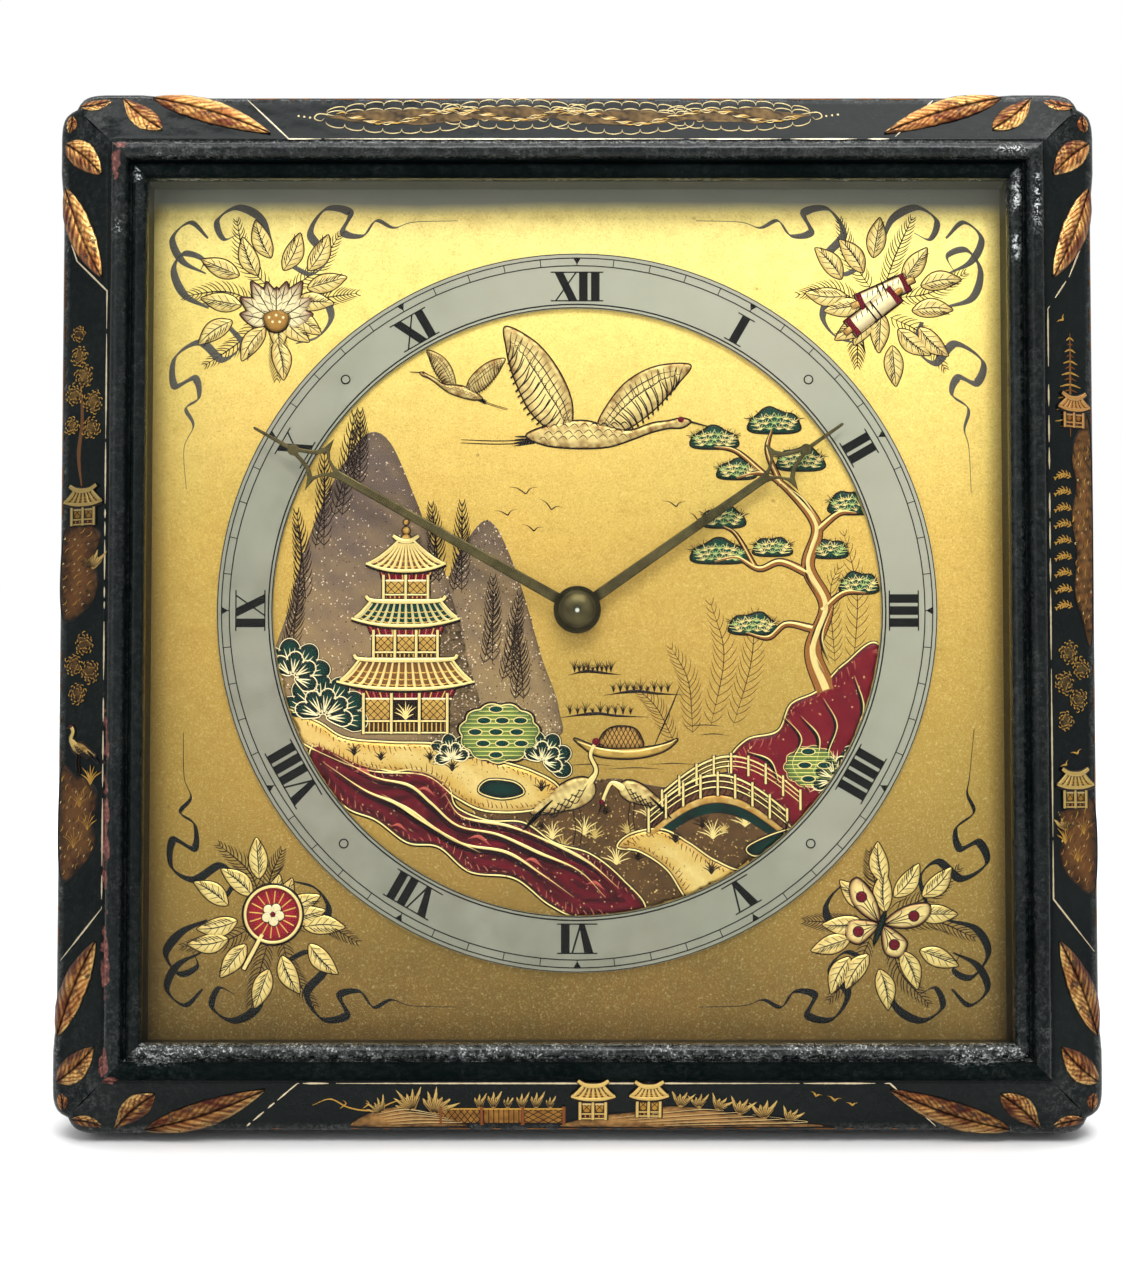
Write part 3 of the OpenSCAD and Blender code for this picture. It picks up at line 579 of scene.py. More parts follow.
def make_rail(side):
    """One rail as a sheet of its section along its length, with what is worn (partly painted highlight), glossy
    or red, and where painted highlights lie.
    """
    quarter = SIDES[side]
    profile, part = rail_profile()
    wear, gloss = (np.array([table[side][name] for name in part]) for table in (WEAR_AND_SHEEN, GLOSS))
    even = np.linspace(-1, 1, RAIL_CUTS)
    s = np.sin(even * math.pi / 2) * 0.35 + even * 0.65
    v0, y0 = profile[:, 0], profile[:, 1]
    along = s[:, None] * np.minimum(v0, LOBE - 3.5)[None, :]
    reach = outer_edge(along)
    k = np.clip((v0 - BAND_IN) / (HALF - BAND_IN), 0, 1)[None, :]
    v = np.where(v0[None, :] > BAND_IN, BAND_IN + (reach - BAND_IN) * k, v0[None, :])
    y = np.broadcast_to(y0[None, :], v.shape).copy()
    # a worn hollow in the carved corner, and slight hand-worked waves
    front = (y0 < -12)[None, :]
    from_corner = np.hypot(LOBE - np.abs(along) - CORNER[0], LOBE - v - CORNER[1])
    y += front * 0.9 * np.exp(-(from_corner / 3.3) ** 2)
    y += front * 0.07 * (1 + wobble(along * 0.16, v * 0.5, quarter))
    worn_and_sheen = wear[None, :] * (1 + 0.75 * wobble(along * 0.17, v * 0.3, 3 + quarter))
    worn_and_sheen = worn_and_sheen * (1 + 0.8 * np.exp(-((np.abs(along) - 90) / 9) ** 2)) + 0.3 * np.exp(-(from_corner / 5) ** 2)
    bole = sum(p * np.exp(-((along - c) / w) ** 2 - ((v - at) / 1.4) ** 2) for c, w, at, p in CLAY[side])
    bole = front * np.clip(bole * (0.9 + 0.6 * wobble(along * 0.9, v, 5)), 0, 1)
    glint = front * sum(p * np.exp(-((along - c) / w) ** 4 - ((v - at) / (0.7 if w < 20 else 0.35)) ** 2)
                        for c, w, at, p in PAINTED_HIGHLIGHTS[side])
    points = turn(np.stack([along, y, v], -1).reshape(-1, 3), quarter)
    ob = add_mesh("rail_" + side, points, grid_faces(*v.shape), "lacquer", slot="lacquer",
                  wear=np.clip(worn_and_sheen, 0, 1.6).ravel(), gloss=np.broadcast_to(gloss, v.shape).ravel(),
                  bole=bole.ravel(), glint=glint.ravel())
    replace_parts(ob, f"frame_{side}_rail")


for side_name in SIDES:
    make_rail(side_name)

# ---- carved leaves ----
# start and end as [along the rail, in from the edge] from the sharp corner, width, bend,
# and where along its length the leaf is widest
LONG_LEAVES = [((4.6, 3.3), (11.8, 1.5), 2.6, 0.4, 0.9), ((13.8, 0.9), (23.4, 9.2), 5.4, 0.6, 1.3),
               ((20.6, 0.9), (47.5, 10.2), 5.9, -0.9, 0.85)]
SIDE_LEAVES = [((5.2, 2.7), (9.2, 1.9), 2.6, 0.3, 1), ((11.4, 1.1), (19.4, 10.0), 5.9, 0.5, 0.8),
               ((21.4, 1.1), (42.4, 10.2), 6.2, -0.6, 0.95)]
# the rail of the long leaves and whether they are mirrored, the same for the side leaves, and a brightness that
# is painted light: lighter at the top corners, darker at the bottom ones
CORNERS = {"top_left": (0, 0, 3, 1, 1.06), "top_right": (0, 1, 1, 0, 1.08), "bottom_left": (2, 1, 3, 0, 0.66),
           "bottom_right": (2, 0, 1, 1, 0.74)}
GILT_AND_LIGHT = (0.85, 0.5, 0.34, 0.62)  # how much gold is left on the leaves of each rail, together with painted light: highest on the top rail, lowest on the bottom one
# LEAF_HI paints the leaves' highlights; LEAF_DARK paints shade on their unlit halves and also marks veins,
# edges, roots and bare wood
LEAF_HI, LEAF_GOLD, LEAF_RUST = rgb(255, 220, 142), rgb(206, 148, 76), rgb(112, 62, 32)
LEAF_RED, LEAF_DARK = rgb(98, 34, 26), rgb(24, 12, 7)


def blend(colour, other, share):
    share = np.clip(share, 0, 1)[..., None]
    return colour * (1 - share) + np.array(other) * share


def leaf_patch(start, end, width, bend, widest, seed, lit, gilt_and_light):
    """Points and colours of one leaf in the top position, as a rows x cols patch. lit is -1 or 1 for the half
    that is painted lighter as painted light, the other half taking painted shade, and the last argument says
    how much gold is left and how brightly the leaf is painted lit."""
    rows, cols = 96, 33
    u = np.linspace(0, 1, rows)[:, None]
    w = np.linspace(-1, 1, cols)[None, :]
    start, end = np.array(start), np.array(end)
    length = np.hypot(*(end - start))
    ahead = (end - start) / length
    aside = np.array([-ahead[1], ahead[0]])
    bulge = np.sin(math.pi * u**widest)
    half_w = width / 2 * np.maximum(bulge, 0) ** 0.8 + 0.12
    half_w = half_w * (1 + 0.06 * wobble(u * 9, w * 0, seed) * np.abs(w))
    off = bend * np.sin(math.pi * u) + half_w * w
    along = start[0] + ahead[0] * u * length + aside[0] * off
    inward = np.maximum(start[1] + ahead[1] * u * length + aside[1] * off, 0.15)
    pitch = 1.95 + 0.35 * math.sin(seed)
    phase = (u * length - np.abs(w) ** 1.15 * half_w * 1.7) / pitch + seed + 0.3 * wobble(u * 8, w * 1.5, seed)
    vein = np.exp(-(((phase + 0.5) % 1 - 0.5) * pitch / 0.15) ** 2)
    vein = vein * np.clip(1.0 - np.abs(w) ** 5, 0, 1) * np.clip(np.abs(w) * 5, 0, 1)
    pillow = 0.5 - 0.5 * np.cos(phase * math.tau)
    rib = np.exp(-(w * half_w / 0.2) ** 2)
    fold = 0.5 + 0.5 * np.cos(math.pi * (np.abs(w) - 0.42) / 0.62)
    crown = np.sqrt(np.clip(1 - w**2, 0, 1)) * 0.5 + 0.5 * fold
    rise = 1.3 * width / 5.6 * (0.30 + 0.70 * bulge) * crown
    rise = rise * (0.88 + 0.12 * pillow) - 0.16 * vein * bulge - 0.42 * rib * bulge * width / 5.6
    rise = rise + 0.10 * wobble(u * 14, w * 3, seed + 1) * bulge
    rise = np.where(np.abs(w) > 0.999, -0.12, np.clip(rise, 0.03, 1.35))
    v = LOBE - inward
    points = np.stack([along - LOBE, band_y(v) - rise, v + 0 * along], -1)

    cloud = 0.5 + 0.5 * wobble(u * 12 + seed, w * 2.6, seed)
    # painted light: the half named by lit turns gold and lighter, with painted highlights on its ridges and
    # rim; the other half turns rust and red, darkened as painted shade
    side = 0.5 + 0.5 * lit * w
    bright = gilt_and_light * (0.15 + 0.95 * side) + 1.0 * (cloud - 0.45) + 0.12 * pillow
    colour = blend(np.broadcast_to(np.array(LEAF_RUST), (*bright.shape, 3)), LEAF_GOLD, bright)
    colour = blend(colour, LEAF_RED, (0.95 - side) * (0.8 - cloud) * 1.7)
    colour = blend(colour, LEAF_DARK, 0.6 * np.clip(0.55 - side, 0, 1) * (1.3 - cloud))
    colour = blend(colour, LEAF_HI, side * (0.45 + 0.55 * gilt_and_light) * (1.7 * pillow * cloud - 0.3))
    rim = np.exp(-((np.abs(w) - 0.86) * half_w / 0.28) ** 2)
    colour = blend(colour, LEAF_HI, 0.75 * rim * side * (0.3 + cloud) * (0.4 + 0.6 * gilt_and_light))
    colour = blend(colour, LEAF_DARK, 0.75 * vein + 1.2 * rib + 1.2 * np.clip((np.abs(w) - 0.91) / 0.05, 0, 1))
    bare = 0.9 * np.clip(0.25 - cloud, 0, 1) / 0.25 * (1.1 - gilt_and_light)
    colour = blend(colour, LEAF_DARK, np.clip(0.8 - u * 6, 0, 0.8) + bare)
    return points, colour


def make_corner(name, k, flip_k, m, flip_m, tone):
    """The six leaves of one corner: long ones on rail k and side ones on rail m."""
    verts, tints, faces, seed = [], [], [], k * 3.1 + m
    for quarter, flip, leaves in ((k, flip_k, LONG_LEAVES), (m, flip_m, SIDE_LEAVES)):
        for leaf in leaves:
            seed += 1.7
            small = leaf[2] < 3
            lit = 1 if math.sin(seed * 3) > -0.2 else -1
            points, colour = leaf_patch(*leaf, seed, lit, GILT_AND_LIGHT[quarter] * (0.35 if small else 1))
            # painted light: the corner's brightness factor
            colour = colour * tone
            rows, cols = points.shape[:2]
            patch = points.reshape(-1, 3).copy()
            if flip:
                patch[:, 0] *= -1
            quads = grid_faces(rows, cols, sum(len(v) for v in verts))
            faces += [q[::-1] for q in quads] if flip else quads
            verts.append(turn(patch, quarter))
            tints.append(colour.reshape(-1, 3))
    ob = add_mesh("carved_" + name, np.vstack(verts), faces, "carved_gilt", slot="carved_gilt",
                  tint=np.vstack(tints))
    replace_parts(ob, "leaves_" + name)


for corner_name, corner in CORNERS.items():
    make_corner(corner_name, *corner)


# ---- painted and raised work ----

def unit(angle):
    """A step of one at an angle in radians."""
    return np.array([math.cos(angle), math.sin(angle)])


def box(x0, y0, x1, y1):
    return [(x0, y0), (x1, y0), (x1, y1), (x0, y1)]


def inside(points, polygon):
    """Whether each point lies within a closed outline."""
    x, y = points[:, :1], points[:, 1:]
    a, b = polygon, np.roll(polygon, -1, axis=0)
    slope = (b[:, 0] - a[:, 0]) / (b[:, 1] - a[:, 1] + 1e-12)
    crossed = ((a[:, 1] > y) != (b[:, 1] > y)) & (x < slope * (y - a[:, 1]) + a[:, 0])
    return crossed.sum(axis=1) % 2 == 1


def signed_area(p):
    """Twice the area of an outline, above zero if it runs anticlockwise."""
    return (p[:, 0] * np.roll(p[:, 1], -1) - np.roll(p[:, 0], -1) * p[:, 1]).sum()


def edge_distance(points, polygon):
    """How far each point is from a closed outline."""
    a, b = polygon[None], np.roll(polygon, -1, axis=0)[None]
    p = points[:, None]
    ab = b - a
    t = np.clip(((p - a) * ab).sum(-1) / np.maximum((ab**2).sum(-1), 1e-12), 0, 1)
    return np.sqrt((((p - a) - ab * t[..., None]) ** 2).sum(-1)).min(axis=1)


def cut_up(outline, step):
    """A closed outline with its corners kept and its sides cut to steps."""
    p = np.asarray(outline, float)
    out = []
    for a, b in zip(p, np.roll(p, -1, axis=0)):
        n = max(1, int(np.hypot(*(b - a)) / step + 0.5))
        out.append(a + (b - a) * (np.arange(n) / n)[:, None])
    return np.vstack(out)


def moved(points, at=(0, 0), size=1.0, angle=0.0, flip=False):
    """Points scaled, mirrored, turned anticlockwise by degrees and then set at a place."""
    p = np.asarray(points, float) * size
    if flip:
        p = p * [-1, 1]
    t = math.radians(angle)
    return p @ np.array([[math.cos(t), math.sin(t)], [-math.sin(t), math.cos(t)]]) + np.asarray(at, float)


def hatch(outline, angle, gap):
    """Parallel lines that fill a closed outline, as pairs of end points."""
    p = moved(outline, angle=-angle)
    out = []
    for y in np.arange(p[:, 1].min() + gap / 2, p[:, 1].max(), gap):
        a, b = p, np.roll(p, -1, axis=0)
        hit = (a[:, 1] > y) != (b[:, 1] > y)
        xs = np.sort(a[hit, 0] + (b[hit, 0] - a[hit, 0]) * (y - a[hit, 1]) / (b[hit, 1] - a[hit, 1]))
        for x0, x1 in zip(xs[::2], xs[1::2]):
            if x1 - x0 > 0.2:
                out.append(moved([[x0, y], [x1, y]], angle=angle))
    return out


class Art:
    """Strokes and raised shapes gathered into one mesh; place(x, z, h) gives clock points."""

    def __init__(self, place, flip=(1, 1), dim=1.0):
        self.place, self.count, self.faces = place, 0, []
        self.verts, self.tints, self.metals = [], [], []
        self.flip, self.dim = flip, np.asarray(dim, float)

    def add(self, xz, h, faces, tint, metal):
        xz = np.asarray(xz, float)
        n = len(xz)
        x, z = xz[:, 0] * self.flip[0], xz[:, 1] * self.flip[1]
        self.verts.append(self.place(x, z, np.broadcast_to(h, n)))
        self.tints.append(np.broadcast_to(np.asarray(tint, float) * self.dim, (n, 3)))
        self.metals.append(np.broadcast_to(float(metal), n))
        back = self.flip[0] * self.flip[1] < 0
        self.faces += [[i + self.count for i in (f[::-1] if back else f)] for f in faces]
        self.count += n

    def stroke(self, points, width, tint, h=0.1, ends=(0.35, 0.35), step=0.5, metal=0.0, closed=False,
               base=0.0, raw=False):
        """A raised line. width is one value or a row of values along it, ends are the shares of it
        that are left at the two ends, and raw takes the points as they are."""
        p = np.asarray(points, float) if raw else smooth_line(points, step, closed)
        if closed:
            p = np.vstack([p, p[:1]])
        along = np.gradient(p, axis=0)
        if closed:
            along[0] = along[-1] = p[1] - p[-2]
        along /= np.maximum(np.hypot(along[:, 0], along[:, 1]), 1e-9)[:, None]
        aside = np.stack([-along[:, 1], along[:, 0]], -1)
        s = np.linspace(0, 1, len(p))
        wide = np.interp(s, np.linspace(0, 1, np.size(width)), np.ravel(width))
        if not closed:
            wide = wide * np.interp(s, [0, 0.3, 0.7, 1], [ends[0], 1, 1, ends[1]])
        cols = np.array([-1, 0, 1]) if wide.max() < 0.6 else np.array([-1, -0.6, 0.6, 1])
        drop = -0.02 if base > 0 else -0.05
        high = np.where(np.abs(cols) == 1, drop, h)
        xz = p[:, None] + aside[:, None] * (cols[None, :, None] * wide[:, None, None] / 2)
        height = high[None, :] + base
        self.add(xz.reshape(-1, 2), np.broadcast_to(height, xz.shape[:2]).ravel(),
                 [f[::-1] for f in grid_faces(len(p), len(cols))], tint, metal)

    def bar(self, points, width, tint, h, base=0.0, metal=0.0):
        """A straight raised line with square ends."""
        self.stroke(points, width, tint, h, (1, 1), 2, metal, base=base)

    def corded(self, points, widths, heights, bases=(0.0, 0.0), ends=(1, 1), **how):
        """A pale gold line laid over a wider dark one."""
        for width, h, base, tint, metal in zip(widths, heights, bases, (LINE, GOLD_HI), (0.0, 0.7)):
            self.stroke(points, width, tint, h, ends, metal=metal, base=base, **how)

    def edging(self, outline, width, h, base, step=0.6, metal=0.6):
        """A pale gold line on the rim of a shape."""
        self.stroke(smooth_line(outline, step, True), width, GOLD_HI, h, closed=True, raw=True, metal=metal,
                    base=base)

    def shape(self, outline, tint, h=0.3, soft=0.5, step=0.8, metal=1.0, base=0.0, rim=None, sharp=False):
        """A raised closed shape with rounded sides. tint may be a function of x, z and the
        distance from the edge. rim is the width, tint and height of a line along its edge."""
        edge = cut_up(outline, step) if sharp else smooth_line(outline, step, True)
        if signed_area(edge) < 0:
            edge = edge[::-1]
        along = np.roll(edge, -1, axis=0) - np.roll(edge, 1, axis=0)
        along /= np.maximum(np.hypot(along[:, 0], along[:, 1]), 1e-9)[:, None]
        inward = np.stack([-along[:, 1], along[:, 0]], -1)
        rings = np.vstack([edge + inward * soft * 0.35, edge + inward * soft])
        want = np.repeat([soft * 0.35, soft], len(edge)) * 0.8
        gap = step * 1.5
        lo, hi = edge.min(0), edge.max(0)
        gx, gz = np.meshgrid(np.arange(lo[0], hi[0], gap), np.arange(lo[1], hi[1], gap * 0.87))
        gx[1::2] += gap / 2
        field = np.stack([gx.ravel(), gz.ravel()], -1)
        inner = np.vstack([rings, field])
        want = np.concatenate([want, np.full(len(field), soft + gap * 0.35)])
        keep = inside(inner, edge)
        inner, want = inner[keep], want[keep]
        if len(inner):
            inner = inner[edge_distance(inner, edge) > want]
        points = np.vstack([edge, inner])
        made = delaunay_2d_cdt([Vector(p) for p in points], [], [list(range(len(edge)))], 1, 1e-5)
        xz = np.array([tuple(p) for p in made[0]])
        d = edge_distance(xz, edge)
        t = np.clip(d / soft, 0, 1)
        up = np.where(d < 1e-4, base - 0.05, base + h * np.sqrt(np.clip(1 - (1 - t) ** 2, 0, 1)))
        colour = tint(xz[:, 0], xz[:, 1], d) if callable(tint) else tint
        self.add(xz, up, [f[::-1] for f in made[2]], colour, metal)
        if rim:
            self.stroke(edge, *rim, closed=True, base=base, raw=True)

    def flat(self, outline):
        """A flat shape in ink: print, or the painted shade lines at the chapter ring's edges."""
        outline = np.asarray(outline, float)
        face = list(range(len(outline)))
        self.add(outline, 0.015, [face[::-1] if signed_area(outline) > 0 else face], INK_AND_SHADE, 0.0)

    def dots(self, points, size, tint, h=0.1, metal=0.0, base=0.0):
        """Small raised grains."""
        star = np.array([[0, 0]] + [unit(a) for a in np.arange(5) * math.tau / 5])
        size = np.broadcast_to(size, len(points))
        xz = np.asarray(points, float)[:, None] + star[None] * size[:, None, None] / 2
        up = base + np.tile([h, -0.02, -0.02, -0.02, -0.02, -0.02], len(points))
        faces = [[6 * k, 6 * k + 1 + (i + 1) % 5, 6 * k + 1 + i] for k in range(len(points)) for i in range(5)]
        self.add(xz.reshape(-1, 2), up, faces, np.repeat(np.broadcast_to(tint, (len(points), 3)), 6, axis=0),
                 metal)

    def build(self, name, material, slot):
        add_mesh(name, np.vstack(self.verts), self.faces, material, "clock", slot,
                 tint=np.vstack(self.tints), metal=np.concatenate(self.metals))


def facing(y, way):
    """Places art on an upright plane at y, raised forwards (-1) or backwards (1)."""
    return lambda x, z, h: np.stack([x, y + way * h, z], -1)


def on_band_level(x, z, h):
    return np.stack([x, band_y(np.abs(z)) - h, z], -1)


def on_band_upright(x, z, h):
    return np.stack([x, band_y(np.abs(x)) - h, z], -1)


on_dial, on_ring, on_cover = facing(-DIAL_Y, -1), facing(-RING_Y, -1), facing(COVER_Y, 1)

# ---- colours of the painted work ----
GOLD_HI, GOLD, GOLD_LO = rgb(248, 224, 150), rgb(222, 180, 92), rgb(142, 92, 42)
LINE, UMBER, BLACK, CREAM = rgb(32, 18, 10), rgb(58, 36, 20), rgb(14, 12, 11), rgb(250, 234, 186)
CRIMSON, ROSE, GREEN, SAGE = rgb(104, 14, 32), rgb(190, 92, 80), rgb(10, 56, 48), rgb(112, 132, 66)
MAUVE, BRICK, WINE, INK_AND_SHADE = rgb(108, 92, 84), rgb(186, 108, 84), rgb(48, 10, 16), rgb(20, 20, 20)

# ---- chapter ring print ----
GLYPH_IN, GLYPH_OUT, BAR, THIN = 70.1, 76.6, 1.95, 0.42
NUMERALS = ["XII", "I", "II", "III", "IIII", "V", "VI", "VII", "VIII", "IX", "X", "XI"]
GLYPH_WIDTH = {"I": BAR, "V": 5.0, "X": 5.2}
TICK_IN, TICK_OUT, PIN_AT = 78.1, 79.75, 73.8
RING_LINES = ((80.75, 0.2), (79.85, 0.26), (78.1, 0.26), (69.3, 0.34), (68.55, 0.24))  # radius and width; the outermost and innermost lines are painted shade at the ring's edges


def circle(r, at=(0, 0), n=48, start=0.0, end=360.0):
    t = np.radians(np.linspace(start, end, n)) if end - start < 360 else np.arange(n) * math.tau / n
    return np.stack([at[0] + r * np.cos(t), at[1] + r * np.sin(t)], -1)


def polar_point(turned, s, r):
    """s round the ring and r out from the centre, at an angle clockwise from twelve."""
    t = math.radians(turned)
    return (r * math.sin(t) + s * math.cos(t), r * math.cos(t) - s * math.sin(t))


def glyph(letter, left):
    """The strokes of a numeral as quads of (s, r), from its left side."""
    a, b = GLYPH_IN, GLYPH_OUT
    if letter == "I":
        return [box(left, a, left + BAR, b)]
    right = left + GLYPH_WIDTH[letter]
    if letter == "V":
        foot = left + 2.75
        return [[(foot - 0.75, a), (foot + 0.55, a), (left + 2.05, b), (left, b)],
                [(foot - 0.1, a), (foot + 0.35, a), (right, b), (right - THIN, b)]]
    return [[(right - 2.0, a), (right, a), (left + 2.0, b), (left, b)],
            [(left + 0.1, a), (left + 0.1 + THIN, a), (right - 0.1, b), (right - 0.1 - THIN, b)]]


def ring_print_and_shade():
    art = Art(on_ring)

    def mark(turned, corners):
        art.flat([polar_point(turned, s, r) for s, r in corners])

    for hour, text in enumerate(NUMERALS):
        turned = hour * 30
        gaps = [0.35 if a + b in ("VI", "IX", "XI") else 0.75 for a, b in zip(text, text[1:])]
        left = -(sum(GLYPH_WIDTH[c] for c in text) + sum(gaps)) / 2
        spot = left
        for letter, gap in zip(text, gaps + [0]):
            for quad in glyph(letter, spot):
                mark(turned, quad)
            spot += GLYPH_WIDTH[letter] + gap
        serif = -left + (1.15 if text == "I" else 0.85)
        for r in (GLYPH_IN, GLYPH_OUT):
            mark(turned, box(-serif, r - 0.15, serif, r + 0.15))
        mark(turned, [(-0.85, 79.8), (0.85, 79.8), (0, 78.35)])
    for k in range(60):
        mark(k * 6, box(-0.1, TICK_IN, 0.1, TICK_OUT))
    # the ring's lines; the outermost and innermost are painted shade at its edges
    for r, w in RING_LINES:
        for k in range(120):
            art.flat([polar_point(turned, 0, far) for turned, far in (
                (k * 3, r - w / 2), (k * 3 + 3, r - w / 2), (k * 3 + 3, r + w / 2), (k * 3, r + w / 2))])
    for k in range(4):
        outer, inner = (circle(r, polar_point(45 + 90 * k, 0, PIN_AT), 24) for r in (1.12, 0.8))
        for j in range(24):
            art.flat([inner[j - 1], inner[j], outer[j], outer[j - 1]])
    art.build("ring_print_and_shade", "ink", "silvered")


ring_print_and_shade()


# ---- turned and flat metal pieces ----

def domed_nut():
    """The nut of the hands, turned about the arbor's line; its profile is (radius, y)."""
    prof = np.array([(0.95, -13.52), (1.25, -13.5), (1.9, -13.42), (2.7, -13.2), (3.35, -12.85), (3.75, -12.5),
                     (3.82, -12.42), (3.98, -12.4), (4.0, -12.25), (4.0, -11.85), (3.9, -11.8), (1.0, -11.8)])
    n = 72
    t = np.arange(n) * math.tau / n
    verts = np.stack([prof[:, :1] * np.cos(t), np.repeat(prof[:, 1:], n, 1), prof[:, :1] * np.sin(t)], -1)
    ob = add_mesh("domed_nut", verts.reshape(-1, 3), grid_faces(len(prof), n, closed=True), "bronzed",
                  "minute_arbor", "bronzed")
    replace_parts(sharpened(ob, 40), "hand_nut")


def plate_mesh(outlines, y0, y1, bevel):
    """Vertices and faces of a flat plate with rounded edges; inner outlines are holes."""
    curve = bpy.data.curves.new("plate", "CURVE")
    curve.dimensions, curve.fill_mode = "2D", "BOTH"
    for outline in outlines:
        spline = curve.splines.new("POLY")
        spline.points.add(len(outline) - 1)
        flat = np.column_stack([outline, np.zeros(len(outline)), np.ones(len(outline))])
        spline.points.foreach_set("co", flat.ravel())
        spline.use_cyclic_u = True
    curve.extrude, curve.bevel_depth, curve.bevel_resolution = (y1 - y0) / 2 - bevel, bevel, 2
    curve.offset = -bevel
    ob = bpy.data.objects.new("plate", curve)
    mesh = bpy.data.meshes.new_from_object(ob)
    co = np.empty(len(mesh.vertices) * 3)
    mesh.vertices.foreach_get("co", co)
    co = co.reshape(-1, 3)
    faces = [list(p.vertices) for p in mesh.polygons]
    for made in (ob, curve):
        bpy.data.batch_remove([made])
    bpy.data.meshes.remove(mesh)
    return np.stack([co[:, 0], (y0 + y1) / 2 - co[:, 2], co[:, 1]], -1), faces


def join(parts):
    """Vertices and faces of several meshes as one."""
    verts, faces, count = [], [], 0
    for v, f in parts:
        verts.append(v)
        faces += [[i + count for i in face] for face in f]
        count += len(v)
    return np.vstack(verts), faces


HEAD_LEN = 21.7  # of a hand's pierced head, whose outlines are (along, half width)
HEAD_OUTER = [(0, 1.05), (1.6, 1.35), (3.1, 2.2), (4.0, 3.6), (4.4, 5.3), (4.6, 6.6), (5.1, 5.2), (5.6, 3.8),
              (6.9, 2.4), (9, 1.5), (11.4, 0.75)]
HEAD_INNER = [(1.3, 0.15), (2.6, 1.1), (3.7, 2.1), (4.7, 3.1), (6.3, 1.6), (8.4, 0.75), (10.3, 0.12)]


def hand(name, node, length, y_front, pipe, turned, body):
    """A pierced hand, pointing to twelve and then turned to its place."""
    split = length - HEAD_LEN

    def both(side):
        p = np.array([(w, split + a) for a, w in side])
        return np.vstack([p, (p * [-1, 1])[::-1]])

    stem = [(-1.25, 2), (1.25, 2), (0.95, split + 0.8), (-0.95, split + 0.8)]
    tip = [(-0.5, split + 11.6), (0.5, split + 11.6), (0.32, length - 0.3), (0, length), (-0.32, length - 0.3)]
    y1 = y_front + 0.8
    verts, faces = join([plate_mesh([circle(5.3), circle(pipe)], y_front, y1, 0.22),
                         plate_mesh([cut_up(stem, 1.0)], y_front, y1, 0.3),
                         plate_mesh([cut_up(both(HEAD_OUTER), 0.5), cut_up(both(HEAD_INNER), 0.5)],
                                    y_front + 0.05, y1 - 0.05, 0.22),
                         plate_mesh([circle(1.3, (0, split + 11.4), 32)], y_front, y1, 0.25),
                         plate_mesh([cut_up(tip, 0.8)], y_front + 0.1, y1 - 0.1, 0.2)])
    t = math.radians(turned)
    x, z = verts[:, 0].copy(), verts[:, 2].copy()
    verts[:, 0], verts[:, 2] = x * math.cos(t) + z * math.sin(t), z * math.cos(t) - x * math.sin(t)
    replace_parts(sharpened(add_mesh(name, verts, faces, "bronzed", body, "bronzed"), 35), node)


hand("pierced_hour_hand", "hour_hand", 73.0, -10.4, 2.24, HOUR_TURN, "hour_pipe")
hand("pierced_minute_hand", "minute_hand", 83.2, -11.7, 1.6, MINUTE_TURN, "minute_arbor")
domed_nut()


# ---- small motifs of the painted work ----

def lerp(a, b, t):
    t = np.clip(np.asarray(t, float), 0, 1)[:, None]
    return np.asarray(a) * (1 - t) + np.asarray(b) * t


def wash(low, high, start=0.0, slope=0.0, swing=0.0, fx=1.0, fz=1.0, seed=0.0):
    """A tint that runs from low to high with the distance from the edge, and in soft streaks."""
    return lambda x, z, d: lerp(low, high, start + slope * d + swing * wobble(x * fx, z * fz, seed))


def gild(x, z, d):
    """Gold that pales towards the middle of a shape, with brown at its edge and in streaks."""
    colour = lerp(GOLD_LO, GOLD, d * 1.3 + 0.25 * wobble(x * 1.1, z * 1.3))
    colour = lerp(colour, GOLD_HI, d * 0.7 - 0.15 + 0.5 * wobble(x * 0.9, z * 1.7, 2))
    return lerp(colour, rgb(176, 102, 44), 1.6 * wobble(x * 2.3, z * 0.8, 4) - 0.75)


plumage = wash(rgb(128, 84, 40), GOLD_HI, 0.3, 0.22, 0.55, 1.6, 1.1, 3)
pitch = wash(BLACK, GREEN, slope=0.7)


def leaf(art, base, tip, width, fill=gild, line=LINE, h=0.26, veins=5, bend=0.0, metal=0.8):
    """A broad leaf with a rim, a midrib and side veins."""
    base, tip = np.asarray(base, float), np.asarray(tip, float)
    ahead = tip - base
    length = np.hypot(*ahead)
    ahead /= length
    aside = np.array([-ahead[1], ahead[0]])

    def at(u, w):
        u, w = np.asarray(u, float), np.asarray(w, float)
        half = width / 2 * np.sin(math.pi * u**0.85) ** 0.85
        off = bend * length * np.sin(math.pi * u) + half * w
        return base + ahead * (u * length)[..., None] + aside * off[..., None]

    u = np.linspace(0.0, 1.0, 9)
    outline = np.vstack([at(u, 1), at(u[-2:0:-1], -1)])
    art.shape(outline, fill, h, min(0.6, width * 0.3), 0.6, metal, rim=(0.44, line, h * 0.6))
    art.stroke(at(np.linspace(0, 0.95, 6), 0), 0.34, line, 0.07, base=h)
    for k in range(veins):
        u0 = 0.10 + 0.7 * k / max(veins, 1)
        for side in (-1, 1):
            art.stroke([at(u0, 0), at(u0 + 0.1, side * 0.45), at(u0 + 0.17, side * 0.8)], 0.2, line, 0.06,
                       base=h, step=0.6)


